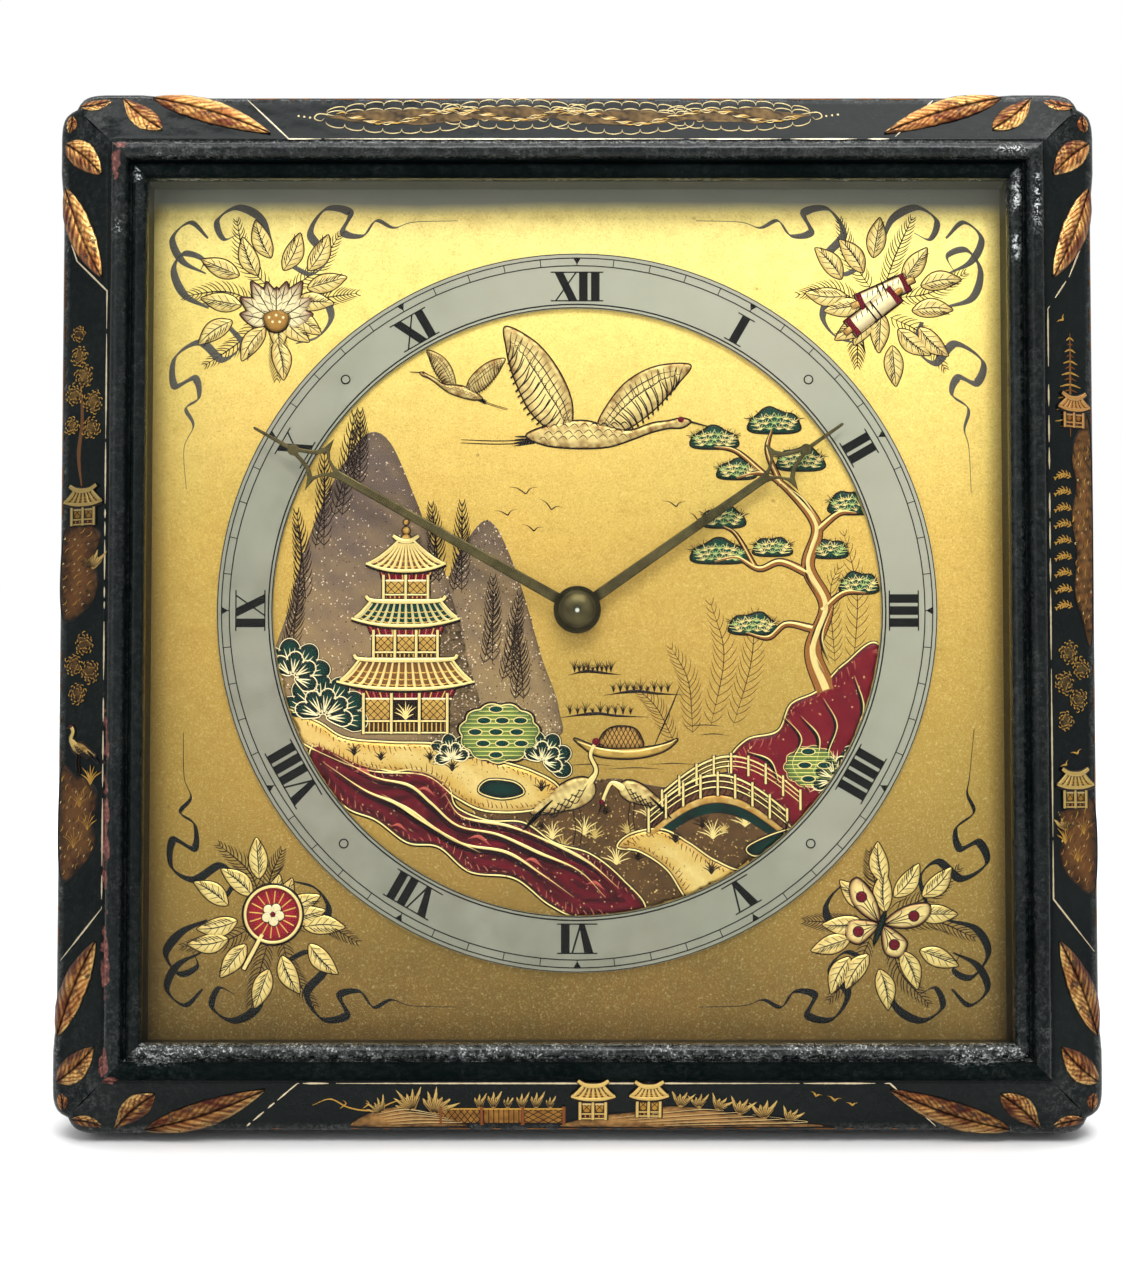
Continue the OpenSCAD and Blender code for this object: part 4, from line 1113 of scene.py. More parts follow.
def fern(art, points, reach, count, line=LINE, width=0.24, lean_out=42, h=0.08, metal=0.0, base=0.0):
    """A curved stalk with fine side strokes, longest at its middle."""
    p = smooth_line(points, 0.4)
    art.stroke(p, width * 1.3, line, h, metal=metal, raw=True, base=base)
    for k in range(count):
        u = (k + 0.6) / count
        i = min(int(u * (len(p) - 1)), len(p) - 2)
        ahead = math.degrees(math.atan2(*(p[i + 1] - p[i])[::-1]))
        long = reach * (0.35 + 0.65 * math.sin(math.pi * min(u * 0.85 + 0.15, 1)))
        for side in (1, -1):
            a = math.radians(ahead + side * (lean_out - 14 * u))
            tip = p[i] + long * unit(a)
            mid = (p[i] + tip) / 2 + 0.08 * long * side * unit(a + math.pi / 2)
            art.stroke([p[i], mid, tip], width, line, h, ends=(0.9, 0.3), step=0.8, metal=metal, base=base)


def needle_fan(art, at, size, line=LINE, turned=0.0, count=9, h=0.08, width=0.22, metal=0.0, base=0.0):
    """A tuft of pine needles that opens upwards from a point."""
    for k in range(count):
        a = math.radians(90 + turned + (k - (count - 1) / 2) * 160 / count)
        long = size * (0.8 + 0.25 * math.sin(k * 2.4 + at[0]))
        tip = np.array([math.cos(a), math.sin(a) * 0.8]) * long + at
        art.stroke([at, tip], width, line, h, ends=(1, 0.4), step=1.0, metal=metal, base=base)


def tuft(art, at, size, line, count=7, spread=70, h=0.1, width=0.26, metal=0.0, seed=0, base=0.0):
    """Blades of grass from one root."""
    for k in range(count):
        a = math.radians(90 + (k - (count - 1) / 2) * spread / count * 2)
        long = size * (0.65 + 0.4 * abs(math.sin(k * 1.9 + seed)))
        end = np.array(at) + [math.cos(a) * long * 0.8, math.sin(a) * long]
        mid = np.array(at) + [math.cos(a) * long * 0.3, math.sin(a) * long * 0.6]
        art.stroke([at, mid, end], width, line, h, ends=(1, 0.25), step=0.7, metal=metal, base=base)


def scallops(art, centre, size, turned, petals):
    """A fan of rounded lobes with pale rims and rays, as cloud-like foliage."""
    centre = np.asarray(centre, float)
    for ring, share in ((0, 1.0), (1, 0.62)):
        n = petals - ring
        for k in range(n):
            a = math.radians(turned + (k - (n - 1) / 2) * 200 / n)
            out, side = unit(a), unit(a + math.pi / 2)
            reach = size * share
            r = reach * math.radians(200 / n) * 0.37
            mid = centre + out * reach * 0.62
            lobe = [centre + out * reach * 0.1]
            lobe += [mid + out * r * 1.2 * math.cos(t) + side * r * math.sin(t)
                     for t in np.linspace(-1.9, 1.9, 9)]
            top = 0.4 + 0.14 * ring
            art.shape(lobe, pitch, top, 0.5, 0.7, 0.0, rim=(0.62, LINE, top * 0.8))
            art.stroke(lobe, 0.34, CREAM, 0.1, closed=True, base=top - 0.12, metal=0.6)
            for j in (-1, 0, 1):
                start, end = centre + out * reach * 0.18, mid + side * r * 0.5 * j + out * r * 0.3
                art.stroke([start, end], 0.34, CREAM, 0.1, ends=(1, 0.2), base=top, step=1.0, metal=0.6)


def bush(art, centre, rx, rz, seed):
    """A rounded bush: scalloped rim, level pale lines and dark outlined ovals."""
    t = np.linspace(0, math.tau, 88, endpoint=False)
    r = 1 + 0.10 * np.abs(np.sin(t * 5.5 + seed))
    outline = np.stack([centre[0] + rx * r * np.cos(t), centre[1] + rz * r * np.sin(t)], -1)
    art.shape(outline, wash(GREEN, SAGE, 0.15, 0.5), 0.5, 0.9, 0.9, 0.0, rim=(0.6, LINE, 0.35))
    art.stroke(centre + (outline - centre) * 0.95, 0.34, GOLD_HI, 0.12, closed=True, raw=True, metal=0.6,
               base=0.36)
    for pair in hatch(centre + (outline - centre) * 0.9, 0, 0.9):
        art.stroke(pair, 0.26, rgb(232, 224, 130), 0.06, ends=(0.5, 0.5), step=2.0, metal=0.5, base=0.5)
    rows = int(rz * 2 / 2.5)
    for i in range(rows):
        z = centre[1] - rz + (i + 0.6) * 2 * rz / rows
        half = rx * math.sqrt(max(0, 1 - ((z - centre[1]) / rz) ** 2)) - 1.6
        n = max(1, int(half * 2 / 4.0))
        for k in range(n):
            x = centre[0] + ((k + 0.5) / n - 0.5) * 2 * half + (0.7 if i % 2 else -0.7)
            oval = np.stack([x + 1.5 * np.cos(t[::8]), z + 0.72 * np.sin(t[::8])], -1)
            art.shape(oval, GREEN, 0.1, 0.2, 0.5, 0.0, base=0.52, rim=(0.3, GOLD_HI, 0.14))


def stones(art, outline, fill, seams):
    """A modelled rock: dark and pale lines follow its edge, and seams cross it."""
    h = 0.42
    art.shape(outline, fill, h, 1.2, 0.9, 0.0, rim=(0.95, BLACK, h * 0.6))
    art.edging(outline, 0.36, 0.12, h * 0.62)
    for seam in seams:
        art.stroke(seam, (0.4, 1.2, 0.6), BLACK, 0.05, base=h)
        art.stroke(np.asarray(seam, float) + [0.3, 0.36], (0.2, 0.46, 0.2), GOLD_HI, 0.12, base=h, metal=0.6)


# ---- buildings ----

def roof(art, cx, cz, half_w, rise, ridge, ribs=13, lip=1.7, dark=False):
    """A tiled roof with upturned eaves, its eave line through (cx, cz) at the middle."""
    x = np.linspace(-1, 1, 15)
    eave = np.stack([cx + half_w * x, cz + lip * np.abs(x) ** 2.4], -1)
    t = np.linspace(0, 1, 7)[1:]
    right = np.stack([cx + half_w + (ridge - half_w) * t, cz + lip + (rise - lip) * t**1.5], -1)
    left = right[::-1] * [-1, 1] + [2 * cx, 0]
    art.shape(np.vstack([eave, right, left[:-1]]), wash(LINE, GREEN if dark else rgb(124, 84, 42), slope=1.4),
              0.4, 0.5, 0.8, 0.0, rim=(0.5, LINE, 0.3), sharp=True)

    def at(s, level):
        """A point on the roof: s across it and level down from the ridge, 0 to 1."""
        return np.array([cx + (ridge + (half_w - ridge) * level) * s,
                         cz + rise * (1 - level) ** 1.35 + lip * abs(s) ** 2.4 * level - 0.35 + 0.5 * level])

    for k in range(ribs):
        s = -0.95 + 1.9 * k / (ribs - 1)
        rib = [at(s, level) for level in (0.03, 0.35, 0.7, 1.0)]
        art.stroke(rib, (0.45, 0.62, 0.72), rgb(214, 206, 150) if dark else GOLD_HI, 0.16, ends=(0.9, 1),
                   base=0.4, metal=0.7)
        if k < ribs - 1:
            for level in (0.3, 0.52, 0.74, 0.96):
                a, b = at(s, level), at(s + 1.9 / (ribs - 1), level)
                art.stroke([a, (a + b) / 2 - [0, 0.3], b], 0.26, GOLD, 0.08, ends=(1, 1), base=0.4, step=0.4,
                           metal=0.7)
    for side in (right, left[::-1]):
        art.corded(side, (1.2, 0.72), (0.55, 0.2), (0, 0.52), (0.8, 0.8))
    crest = [(cx - ridge - 1.2, cz + rise + 1.1), (cx - ridge + 0.4, cz + rise + 0.1), (cx, cz + rise - 0.1),
             (cx + ridge - 0.4, cz + rise + 0.1), (cx + ridge + 1.2, cz + rise + 1.1)]
    art.corded(crest, (1.8, 1.15), (0.6, 0.24), (0, 0.55), (0.7, 0.7))
    art.stroke(eave + [0, -0.35], 1.5, LINE, 0.5, ends=(0.6, 0.6), raw=True)
    art.stroke(eave, 0.8, GOLD_HI, 0.24, ends=(0.6, 0.6), raw=True, metal=0.7, base=0.48)


def under_eave(art, cx, cz, half_w, drop):
    """The red boards below an eave, with pale stripes."""
    low = half_w * 0.9
    boards = [(cx - half_w, cz + 0.5), (cx + half_w, cz + 0.5), (cx + low, cz - drop), (cx - low, cz - drop)]
    art.shape(boards, CRIMSON, 0.3, 0.3, 0.8, 0.0, rim=(0.5, LINE, 0.3), sharp=True)
    n = int(half_w * 2 / 1.5)
    for k in range(n):
        s = -0.92 + 1.84 * k / (n - 1)
        art.stroke([(cx + half_w * s, cz + 0.3), (cx + half_w * s * 0.9, cz - drop + 0.25)], 0.34,
                   GOLD if k % 2 else ROSE, 0.08, ends=(1, 1), step=1, base=0.3)
    art.stroke([(cx - low, cz - drop), (cx + low, cz - drop)], 0.4, CREAM, 0.1, ends=(1, 1), metal=0.6,
               base=0.3)


def storey(art, cx, z0, half_w, height, bays=3, open_bay=None):
    """A latticed wall between round posts, over a low rail."""
    def wall(x, z, d):
        return lerp(GOLD_LO, GOLD, 0.5 + 0.5 * (z - z0) / height + 0.3 * wobble(x * 2, z))

    art.shape(box(cx - half_w, z0, cx + half_w, z0 + height), wall, 0.2, 0.3, 0.9, 0.8, rim=(0.5, LINE, 0.2),
              sharp=True)
    bay = 2 * half_w / bays
    low = z0 + height * 0.3
    for k in range(bays):
        x0 = cx - half_w + k * bay
        panel = box(x0 + 0.5, low, x0 + bay - 0.5, z0 + height - 0.3)
        if k == open_bay:
            art.shape(panel, LINE, 0.04, 0.2, 0.8, 0.0, base=0.2, sharp=True)
            tuft(art, (x0 + bay / 2, z0 + height * 0.34), height * 0.45, GOLD_HI, 9, h=0.1, metal=0.6,
                 base=0.24, width=0.3)
            continue
        for angle in (45, -45):
            for pair in hatch(panel, angle, 1.15):
                art.bar(pair, 0.24, LINE, 0.05, 0.2)
    rail = box(cx - half_w, z0 + 0.1, cx + half_w, low)
    art.shape(rail, CRIMSON if bays == 2 else UMBER, 0.05, 0.1, 0.9, 0.0, base=0.2, sharp=True)
    for pair in hatch(rail, 90, 1.0):
        art.bar(pair, 0.36, GOLD, 0.06, 0.25, 0.6)
    for z in (low, z0 + 0.1):
        art.corded([(cx - half_w, z), (cx + half_w, z)], (0.75, 0.42), (0.1, 0.1), (0.25, 0.34), step=2)
    for k in range(bays + 1):
        x = cx - half_w + k * bay
        art.bar([(x, z0 - 0.3), (x, z0 + height)], 1.15, LINE, 0.1, 0.3)
        art.bar([(x - 0.05, z0 - 0.2), (x - 0.05, z0 + height)], 0.64, GOLD_HI, 0.14, 0.4, 0.7)


def pagoda(art, cx, z0):
    """Three storeys, each with its own curved roof, and a finial."""
    levels = [(9.4, 9.0, 15.5, 6.6, 10.4), (7.2, 7.2, 12.2, 5.6, 7.8), (5.0, 6.4, 9.0, 6.8, 1.7)]
    z = z0
    for n, (half_w, tall, eave_half, rise, ridge) in enumerate(levels):
        storey(art, cx, z, half_w, tall, 3 if n < 2 else 2, open_bay=1 if n == 0 else None)
        under_eave(art, cx, z + tall + 0.6, half_w * 1.22, 1.9)
        roof(art, cx, z + tall + 0.9, eave_half, rise, ridge, 15 - 2 * n, dark=n == 1)
        z += tall + rise + 0.4
    for k, r in enumerate((1.2, 0.95, 0.7)):
        art.shape(circle(r, (cx, z + 0.9 + 1.9 * k), 14), gild, 0.55, 0.4, 0.4, 0.8, rim=(0.4, LINE, 0.4))
    art.stroke([(cx, z + 6), (cx, z + 8.2)], 0.4, LINE, 0.3)


def bridge(art, x0, x1, z0, rise):
    """An arched bridge: brown planks between two gilt rails."""
    t = np.linspace(0, 1, 25)
    near = np.stack([x0 + (x1 - x0) * t, z0 + rise * np.sin(math.pi * t)], -1)
    far = near + [3, 5]
    art.shape(np.vstack([near, far[::-1]]), wash(UMBER, rgb(140, 88, 64), 0.4, swing=0.4), 0.3, 0.3,
              0.9, 0.0, rim=(0.5, LINE, 0.3), sharp=True)
    for k in range(1, 24):
        art.bar([near[k], far[k]], 0.28, LINE, 0.05, 0.3)
    shade = np.vstack([near - [0, 1.6], near[::-1] - [0, 4.2]])
    art.shape(shade, wash(BLACK, GREEN, 0.5, swing=0.5, fx=0.7), 0.3, 0.4, 0.9, 0.0, sharp=True)
    art.shape(np.vstack([near, near[::-1] - [0, 1.9]]), gild, 0.42, 0.4, 0.8, 0.8, rim=(0.5, LINE, 0.34),
              sharp=True)
    for line, tall, over in ((far, 3.6, 0.34), (near, 4.4, 0.46)):
        for share in (0.4, 0.7, 1.0):
            rail = line + [0, tall * share]
            wide = 0.5 if share == 1 else 0.3
            art.corded(rail, (wide + 0.4, wide), (0.06, 0.1), (over, over + 0.06), raw=True)
        for k in range(0, 25, 3):
            foot = line[k]
            art.bar([foot - [0, 0.3], foot + [0, tall + 0.9]], 1.0, LINE, 0.06, over + 0.08)
            art.bar([foot - [0, 0.2], foot + [0, tall + 0.8]], 0.58, GOLD_HI, 0.1, over + 0.14, 0.7)


# ---- birds ----

def flying_crane(art, at, size, angle=0.0, flip=False):
    """A crane on the wing: neck ahead, legs behind, and both wings spread."""
    fine = min(1, size / 30)
    m = partial(moved, at=at, size=size, angle=angle, flip=flip)
    far = [(0.04, 0.05), (0.09, 0.20), (0.20, 0.36), (0.37, 0.47), (0.58, 0.50), (0.52, 0.38), (0.45, 0.28),
           (0.37, 0.18), (0.25, 0.07), (0.14, 0.0)]
    near = [(-0.12, 0.04), (-0.14, 0.20), (-0.24, 0.38), (-0.40, 0.54), (-0.60, 0.62), (-0.58, 0.48),
            (-0.54, 0.36), (-0.48, 0.24), (-0.39, 0.10), (-0.26, 0.0), (-0.14, -0.05)]
    body = [(-0.40, -0.05), (-0.26, 0.03), (-0.06, 0.08), (0.10, 0.06), (0.24, 0.05), (0.38, 0.11),
            (0.48, 0.135), (0.56, 0.16), (0.62, 0.145), (0.57, 0.10), (0.48, 0.085), (0.38, 0.05),
            (0.26, -0.01), (0.12, -0.07), (-0.08, -0.10), (-0.28, -0.10)]
    for wing, lift in ((far, 0.3), (near, 0.42)):
        art.shape(m(wing), plumage, lift, 0.5, 0.7, 0.8, rim=(0.5 * fine, LINE, lift * 0.7))
        pts = np.asarray(wing, float)
        lead = smooth_line(pts[:5], 0.05)
        trail = smooth_line(pts[5:], 0.05)[::-1]
        across = [(lead[int(u * (len(lead) - 1))], trail[int(u * (len(trail) - 1))])
                  for u in np.linspace(0.05, 0.97, 24)]
        for k, (a, b) in enumerate(across):
            tip = b + (b - a) * 0.10
            start = a + (b - a) * (0.36 if k % 2 else 0.5)
            bow = (start + tip) / 2 + (np.roll(b - a, 1) * [-1, 1]) * 0.05
            art.stroke(m([start, bow, tip]), 0.36 * fine, LINE, 0.08, ends=(0.6, 1), base=lift, step=0.6)
            art.stroke(m([a + (b - a) * 0.1, a + (b - a) * 0.26, a + (b - a) * 0.42]), 0.26 * fine, UMBER, 0.06,
                       base=lift, step=0.6)
        for share in (0.45, 0.26):
            art.stroke(m([a * (1 - share) + b * share for a, b in across[::2]]), 0.32 * fine, LINE, 0.08,
                       base=lift)
        for (a, b), (c, d) in zip(across, across[1:]):
            p, q = a * 0.62 + b * 0.38, c * 0.62 + d * 0.38
            art.stroke(m([p, (p + q) / 2 + (b - a) * 0.07, q]), 0.22 * fine, UMBER, 0.06, base=lift, step=0.5)
    art.shape(m(body), plumage, 0.52, 0.6, 0.6, 0.8, rim=(0.5 * fine, LINE, 0.4))
    for row in range(3):
        for k in range(9):
            x, z = -0.32 + 0.062 * k + 0.03 * (row % 2), -0.075 + 0.038 * row + 0.009 * k
            art.stroke(m([(x, z), (x + 0.03, z + 0.024), (x + 0.06, z)]), 0.26 * fine, LINE, 0.07, base=0.52,
                       step=0.4)
    art.stroke(m([(0.60, 0.145), (0.76, 0.12)]), (0.6 * fine, 0.2), LINE, 0.4, ends=(1, 0.4))
    art.shape(m(circle(0.02, (0.555, 0.148), 10)), CRIMSON, 0.1, 0.2, 0.3, 0.0, base=0.5)
    for z in (-0.075, -0.095):
        art.stroke(m([(-0.36, z), (-0.58, z - 0.03), (-0.80, z - 0.045)]), 0.34 * fine, LINE, 0.2,
                   ends=(1, 0.5))
    for k in range(4):
        art.stroke(m([(-0.34, -0.055 - 0.012 * k), (-0.47, -0.065 - 0.02 * k)]), 0.55 * fine, BLACK, 0.3,
                   ends=(1, 0.2))


def standing_crane(art, at, size, flip=False, stoop=False):
    """A crane on one bank, its neck raised or bent down."""
    m = partial(moved, at=at, size=size, flip=flip)
    neck, way = [(0.12, 0.58), (0.21, 0.72), (0.16, 0.86), (0.20, 0.97)], (0.17, -0.03)
    if stoop:
        neck, way = [(0.14, 0.56), (0.29, 0.63), (0.37, 0.50), (0.41, 0.38)], (0.06, -0.16)
    art.corded(m(neck), ((2.3, 1.5, 1.3, 1.5), (1.7, 0.95, 0.8, 0.95)), (0.45, 0.16), (0, 0.42), (1, 0.9))
    head = neck[-1]
    art.stroke(m([head, (head[0] + way[0], head[1] + way[1])]), (0.7, 0.25), LINE, 0.46, ends=(1, 0.3))
    art.shape(m(circle(0.034, (head[0] + 0.008, head[1] + 0.014), 10)), CRIMSON, 0.14, 0.2, 0.3, 0.0, base=0.55)
    body = [(0.20, 0.60), (0.10, 0.67), (-0.06, 0.63), (-0.22, 0.51), (-0.38, 0.35), (-0.26, 0.33),
            (-0.08, 0.36), (0.08, 0.40), (0.19, 0.49)]
    art.shape(m(body), plumage, 0.55, 0.9, 0.6, 0.8, rim=(0.5, LINE, 0.4))
    for row in range(3):
        for k in range(6 - row):
            x = 0.13 - 0.062 * k - 0.03 * row
            z = 0.60 - 0.040 * k - 0.055 * row
            art.stroke(m([(x, z), (x - 0.035, z - 0.055), (x - 0.085, z - 0.05)]), 0.3, LINE, 0.08, base=0.55,
                       ends=(0.6, 1), step=0.4)
    for k in range(6):
        art.stroke(m([(-0.18 - 0.025 * k, 0.46 - 0.028 * k), (-0.38 - 0.014 * k, 0.28 - 0.018 * k)]), 0.6,
                   BLACK, 0.12, base=0.5, ends=(0.6, 0.4))
    for x in (0.0, 0.06):
        art.stroke(m([(x, 0.40), (x + 0.025, 0.2), (x, 0.0), (x + 0.07, -0.012)]), 0.42, LINE, 0.4,
                   ends=(1, 0.8))


def small_birds(art, places, line=LINE):
    """Birds far off, as single bent strokes."""
    for x, z, size, angle in places:
        wings = [(-1, 0.55), (-0.45, 0.35), (0, -0.1), (0.15, -0.2), (0.5, 0.1), (1.1, 0.12)]
        art.stroke(moved(wings, (x, z), size, angle), (0.15, 0.36, 0.46, 0.36, 0.15), line, 0.12)


# ---- the picture inside the chapter ring ----

def on_picture(x, z, h):
    """On the dial, with whatever passes under the chapter ring drawn in to its edge."""
    far = np.hypot(x, z)
    keep = np.minimum(1, 68.3 / np.maximum(far, 1e-6))
    return on_dial(x * keep, z * keep, np.where(keep < 1, -0.05, h))


def sprinkle(art, outline, count, size, tints, h):
    """Fine dots spread at random inside an outline."""
    outline = smooth_line(outline, 1.0, True)
    lo, hi = outline.min(0), outline.max(0)
    spots = lo + RNG.random((count * 3, 2)) * (hi - lo)
    spots = spots[inside(spots, outline)][:count]
    pick = RNG.integers(0, len(tints), len(spots))
    art.dots(spots, 0.6 * size + 0.7 * size * RNG.random(len(spots)), np.array(tints)[pick], 0.08, 0.0, h)


def mountain(art, outline, seed):
    def haze(x, z, d):
        t = 0.5 + 0.35 * wobble(x * 0.23, z * 0.31, seed) + np.clip((z - 10) / 60, -0.4, 0.3)
        colour = lerp(rgb(156, 130, 92), MAUVE, t * 1.2)
        return lerp(colour, rgb(76, 58, 50), 0.6 - d * 0.3)

    art.shape(outline, haze, 0.14, 0.8, 1.3, 0.0)
    sprinkle(art, outline, 1100, 0.4, [rgb(240, 224, 196), rgb(206, 180, 156), rgb(78, 52, 48)], 0.14)


def pine_branch(art, points, widths):
    """A crooked gnarled branch with a lit upper side."""
    art.stroke(points, np.asarray(widths) + 0.7, LINE, 0.34, ends=(1, 0.6))
    art.stroke(points, widths, rgb(158, 100, 50), 0.14, ends=(1, 0.5), base=0.34)
    art.stroke(np.asarray(points, float) + [-0.14, 0.24], np.asarray(widths) * 0.42, GOLD_HI, 0.1,
               ends=(1, 0.3), metal=0.7, base=0.46)


def pine_pad(art, at, wide, tall, seed=0):
    """A flat cloud of needles over a branch: a dark bank with fans over it and beyond its edge."""
    t = np.linspace(0, math.pi, 12)
    up = tall * np.sin(t) * (1 + 0.12 * np.sin(5 * t + seed))
    top = np.stack([at[0] + wide / 2 * np.cos(t), at[1] + up], -1)
    n = max(4, int(wide / 1.8))
    for k in range(n):
        u = (k + 0.5) / n * 2 - 1
        needle_fan(art, (at[0] + wide / 2 * 0.95 * u, at[1] + tall * 0.72 * math.sqrt(1 - u * u * 0.8)), 2.0,
                   LINE, -40 * u, 7, 0.3, 0.3)
    foot = [[at[0] + side * wide * 0.3, at[1] - tall * 0.18] for side in (-1, 1)]
    art.shape(np.vstack([top, foot]),
              wash(LINE, rgb(14, 74, 58), 0.2, 0.7), 0.4, 0.7, 0.8, 0.0, rim=(0.4, LINE, 0.3))
    for row, share in ((0, 0.85), (1, 0.48), (2, 0.12)):
        for k in range(n - row):
            u = (k + 0.5) / (n - row) * 2 - 1
            spot = (at[0] + wide / 2 * 0.84 * u * (1 - 0.1 * row),
                    at[1] + tall * share * 0.72 * math.sqrt(1 - u * u * 0.8) - tall * 0.08)
            needle_fan(art, spot, 1.9, GOLD_HI if (k + row) % 3 else rgb(190, 206, 130), -25 * u, 5, 0.08, 0.26,
                       0.5, 0.4)


def crimson_stream(art):
    """The red rock ledge that winds over the foreground."""
    outline = [(-58, -29), (-50, -33), (-42, -36), (-35, -35.5), (-29, -39), (-27, -44), (-20, -47),
               (-12, -47.5), (-5, -52), (3, -54.5), (10, -60), (15, -67), (2, -69), (-6, -66), (-14, -60),
               (-24, -58.5), (-31, -53), (-38, -52), (-45, -47), (-52, -44), (-60, -36)]

    def red(x, z, d):
        t = 0.5 + 0.5 * np.sin(d * 2.4 + 0.25 * x + 0.6 * wobble(x * 0.3, z * 0.3))
        return lerp(lerp(rgb(50, 10, 16), rgb(112, 20, 36), t), UMBER, np.clip(0.9 - d * 1.1, 0, 0.9))

    art.shape(outline, red, 0.36, 1.3, 0.8, 0.0, rim=(1.1, BLACK, 0.3))
    art.edging(outline, 0.42, 0.12, 0.28, metal=0.7)
    flows = [
        [(-55, -33), (-46, -38), (-38, -40), (-33, -44), (-27, -49), (-18, -51), (-9, -55), (0, -59), (6, -65)],
        [(-57, -35), (-48, -41), (-41, -44), (-35, -48), (-26, -53), (-16, -55), (-8, -60), (-1, -65)],
        [(-44, -42), (-37, -46), (-30, -51), (-22, -55)],
        [(-30, -42), (-26, -47), (-16, -49), (-8, -52), (2, -57), (9, -63)]]
    for flow in flows:
        art.stroke(flow, (0.3, 1.6, 1.0, 1.7, 0.3), rgb(30, 6, 12), 0.05, base=0.35)
        art.stroke(np.asarray(flow, float) + [0.35, 0.8], (0.15, 0.75, 0.4, 0.8, 0.15), GOLD_HI, 0.14,
                   base=0.35, metal=0.7)
    sprinkle(art, outline, 420, 0.34, [ROSE, GOLD_HI, WINE], 0.36)
    edge_hatch(art, outline, BRICK, 2.1, 0.36)
    for x, z, s in ((-48, -37, 1.0), (-34, -41, 0.9), (-22, -52, 1.1), (-10, -57, 1.0), (4, -62, 0.9),
                    (-40, -49, 0.8)):
        art.stroke([(x - 2.2 * s, z + 0.8 * s), (x, z + 1.3 * s), (x + 2.4 * s, z - 0.6 * s)],
                   (0.2, 0.9 * s, 0.2), ROSE, 0.1, base=0.36)


def edge_hatch(art, outline, tint, gap=1.5, base=0.4):
    """Short strokes side by side just within an outline."""
    p, shut = smooth_line(outline, gap, True), np.asarray(outline, float)
    along = np.roll(p, -1, axis=0) - p
    side = np.stack([-along[:, 1], along[:, 0]], -1) / np.maximum(np.hypot(*along.T), 1e-6)[:, None]
    for k, (at, out) in enumerate(zip(p, side)):
        for way in (1, -1):
            start = at + out * way * 0.9
            far = 0.9 + 0.5 * math.sin(k * 1.7) + 0.5 * math.sin(k * 0.37)
            end = start + out * way * far + along[k] * 0.5
            if inside(np.array([start, end]), shut).all() and np.hypot(*end) < 67:
                art.stroke([start, (start + end) / 2 - along[k] * 0.06, end], 0.24, tint, 0.07, base=base,
                           ends=(1, 0.3))


def sand_bank(art, outline, pools=(), tufts=()):
    """A smooth gold bank with a brown lip, dark pools and fans of grass."""
    def sand(x, z, d):
        return lerp(lerp(GOLD_LO, GOLD, d), GOLD_HI,
                    np.clip(d / 7 + 0.4 * wobble(x * 0.3, z * 0.4), 0, 0.8))

    art.shape(outline, sand, 0.4, 1.6, 0.9, 0.8, rim=(1.1, LINE, 0.28))
    art.edging(outline, 0.4, 0.14, 0.28, metal=0.7)
    edge_hatch(art, outline, rgb(112, 68, 34), 1.2)
    sprinkle(art, outline, 160, 0.3, [rgb(122, 78, 40), LINE], 0.4)
    for pool in pools:
        art.shape(pool, wash(BLACK, GREEN, slope=0.5), 0.08, 0.3, 0.7, 0.0, base=0.4, rim=(0.9, LINE, 0.1))
        art.edging(pool, 0.4, 0.16, 0.44, step=0.5, metal=0.7)
    for x, z, s in tufts:
        tuft(art, (x, z), 3.6 * s, LINE, 8, 66, h=0.08, width=0.32, seed=x, base=0.4)


def ground(art):
    outline = [(-24, -40), (-14, -38), (-4, -39.5), (8, -37.5), (20, -39.5), (30, -38), (38, -42), (44, -50),
               (36, -60), (22, -68), (6, -70), (-8, -62), (-20, -52)]

    def soil(x, z, d):
        colour = lerp(rgb(108, 78, 46), rgb(74, 54, 34), 0.5 + 0.5 * wobble(x * 0.4, z * 0.7))
        return colour * (0.8 + 0.2 * np.clip(d, 0, 1))[:, None]

    art.shape(outline, soil, 0.15, 1.0, 1.2, 0.0)
    sprinkle(art, outline, 1300, 0.42, [rgb(226, 194, 122), rgb(180, 146, 88), rgb(44, 28, 18)], 0.15)
    for k in range(26):
        x = -20 + 2.4 * k
        z = -41 - 9 * abs(math.sin(k * 1.7)) - 8 * abs(math.sin(k * 0.61))
        if np.hypot(x, z) < 64:
            tuft(art, (x, z), 3.4 + 1.4 * math.sin(k * 2.2), (GOLD_HI, rgb(206, 178, 104), LINE)[k % 3], 9, 78,
                 0.08, 0.3, 0.5, k, 0.15)


def left_side(art):
    mountain(art, [(-68, -26), (-64, 4), (-58, 23), (-51, 36), (-46.5, 40.5), (-42, 38), (-37, 27), (-32, 14),
                   (-27, 2), (-24, -10), (-24, -28)], 1)
    mountain(art, [(-34, -28), (-32, -4), (-28, 10), (-23.5, 18), (-20, 20.5), (-16.5, 16), (-12, 4), (-8, -10),
                   (-4, -22), (-6, -29)], 2)
    for k, (x, z, tall) in enumerate([(-57, 20, 20), (-53, 27, 22), (-61, 8, 18), (-49, 34, 14), (-64, -4, 14),
                                      (-31, 12, 15), (-26, 10, 18), (-15, -10, 17), (-12, -14, 13),
                                      (-19, -6, 17)]):
        lean = 0.14 * math.sin(k * 2.1)
        for share, reach in ((1.0, 4.4), (0.78, 3.4)):
            fern(art, [(x - (1 - share) * 9, z - 6), (x + lean * tall * 0.5, z + tall * 0.35 * share),
                       (x + lean * tall, z + tall * share * 0.8)], reach, 13, LINE, 0.24, 34, 0.08, base=0.16)
    pagoda(art, -38.5, -27.5)


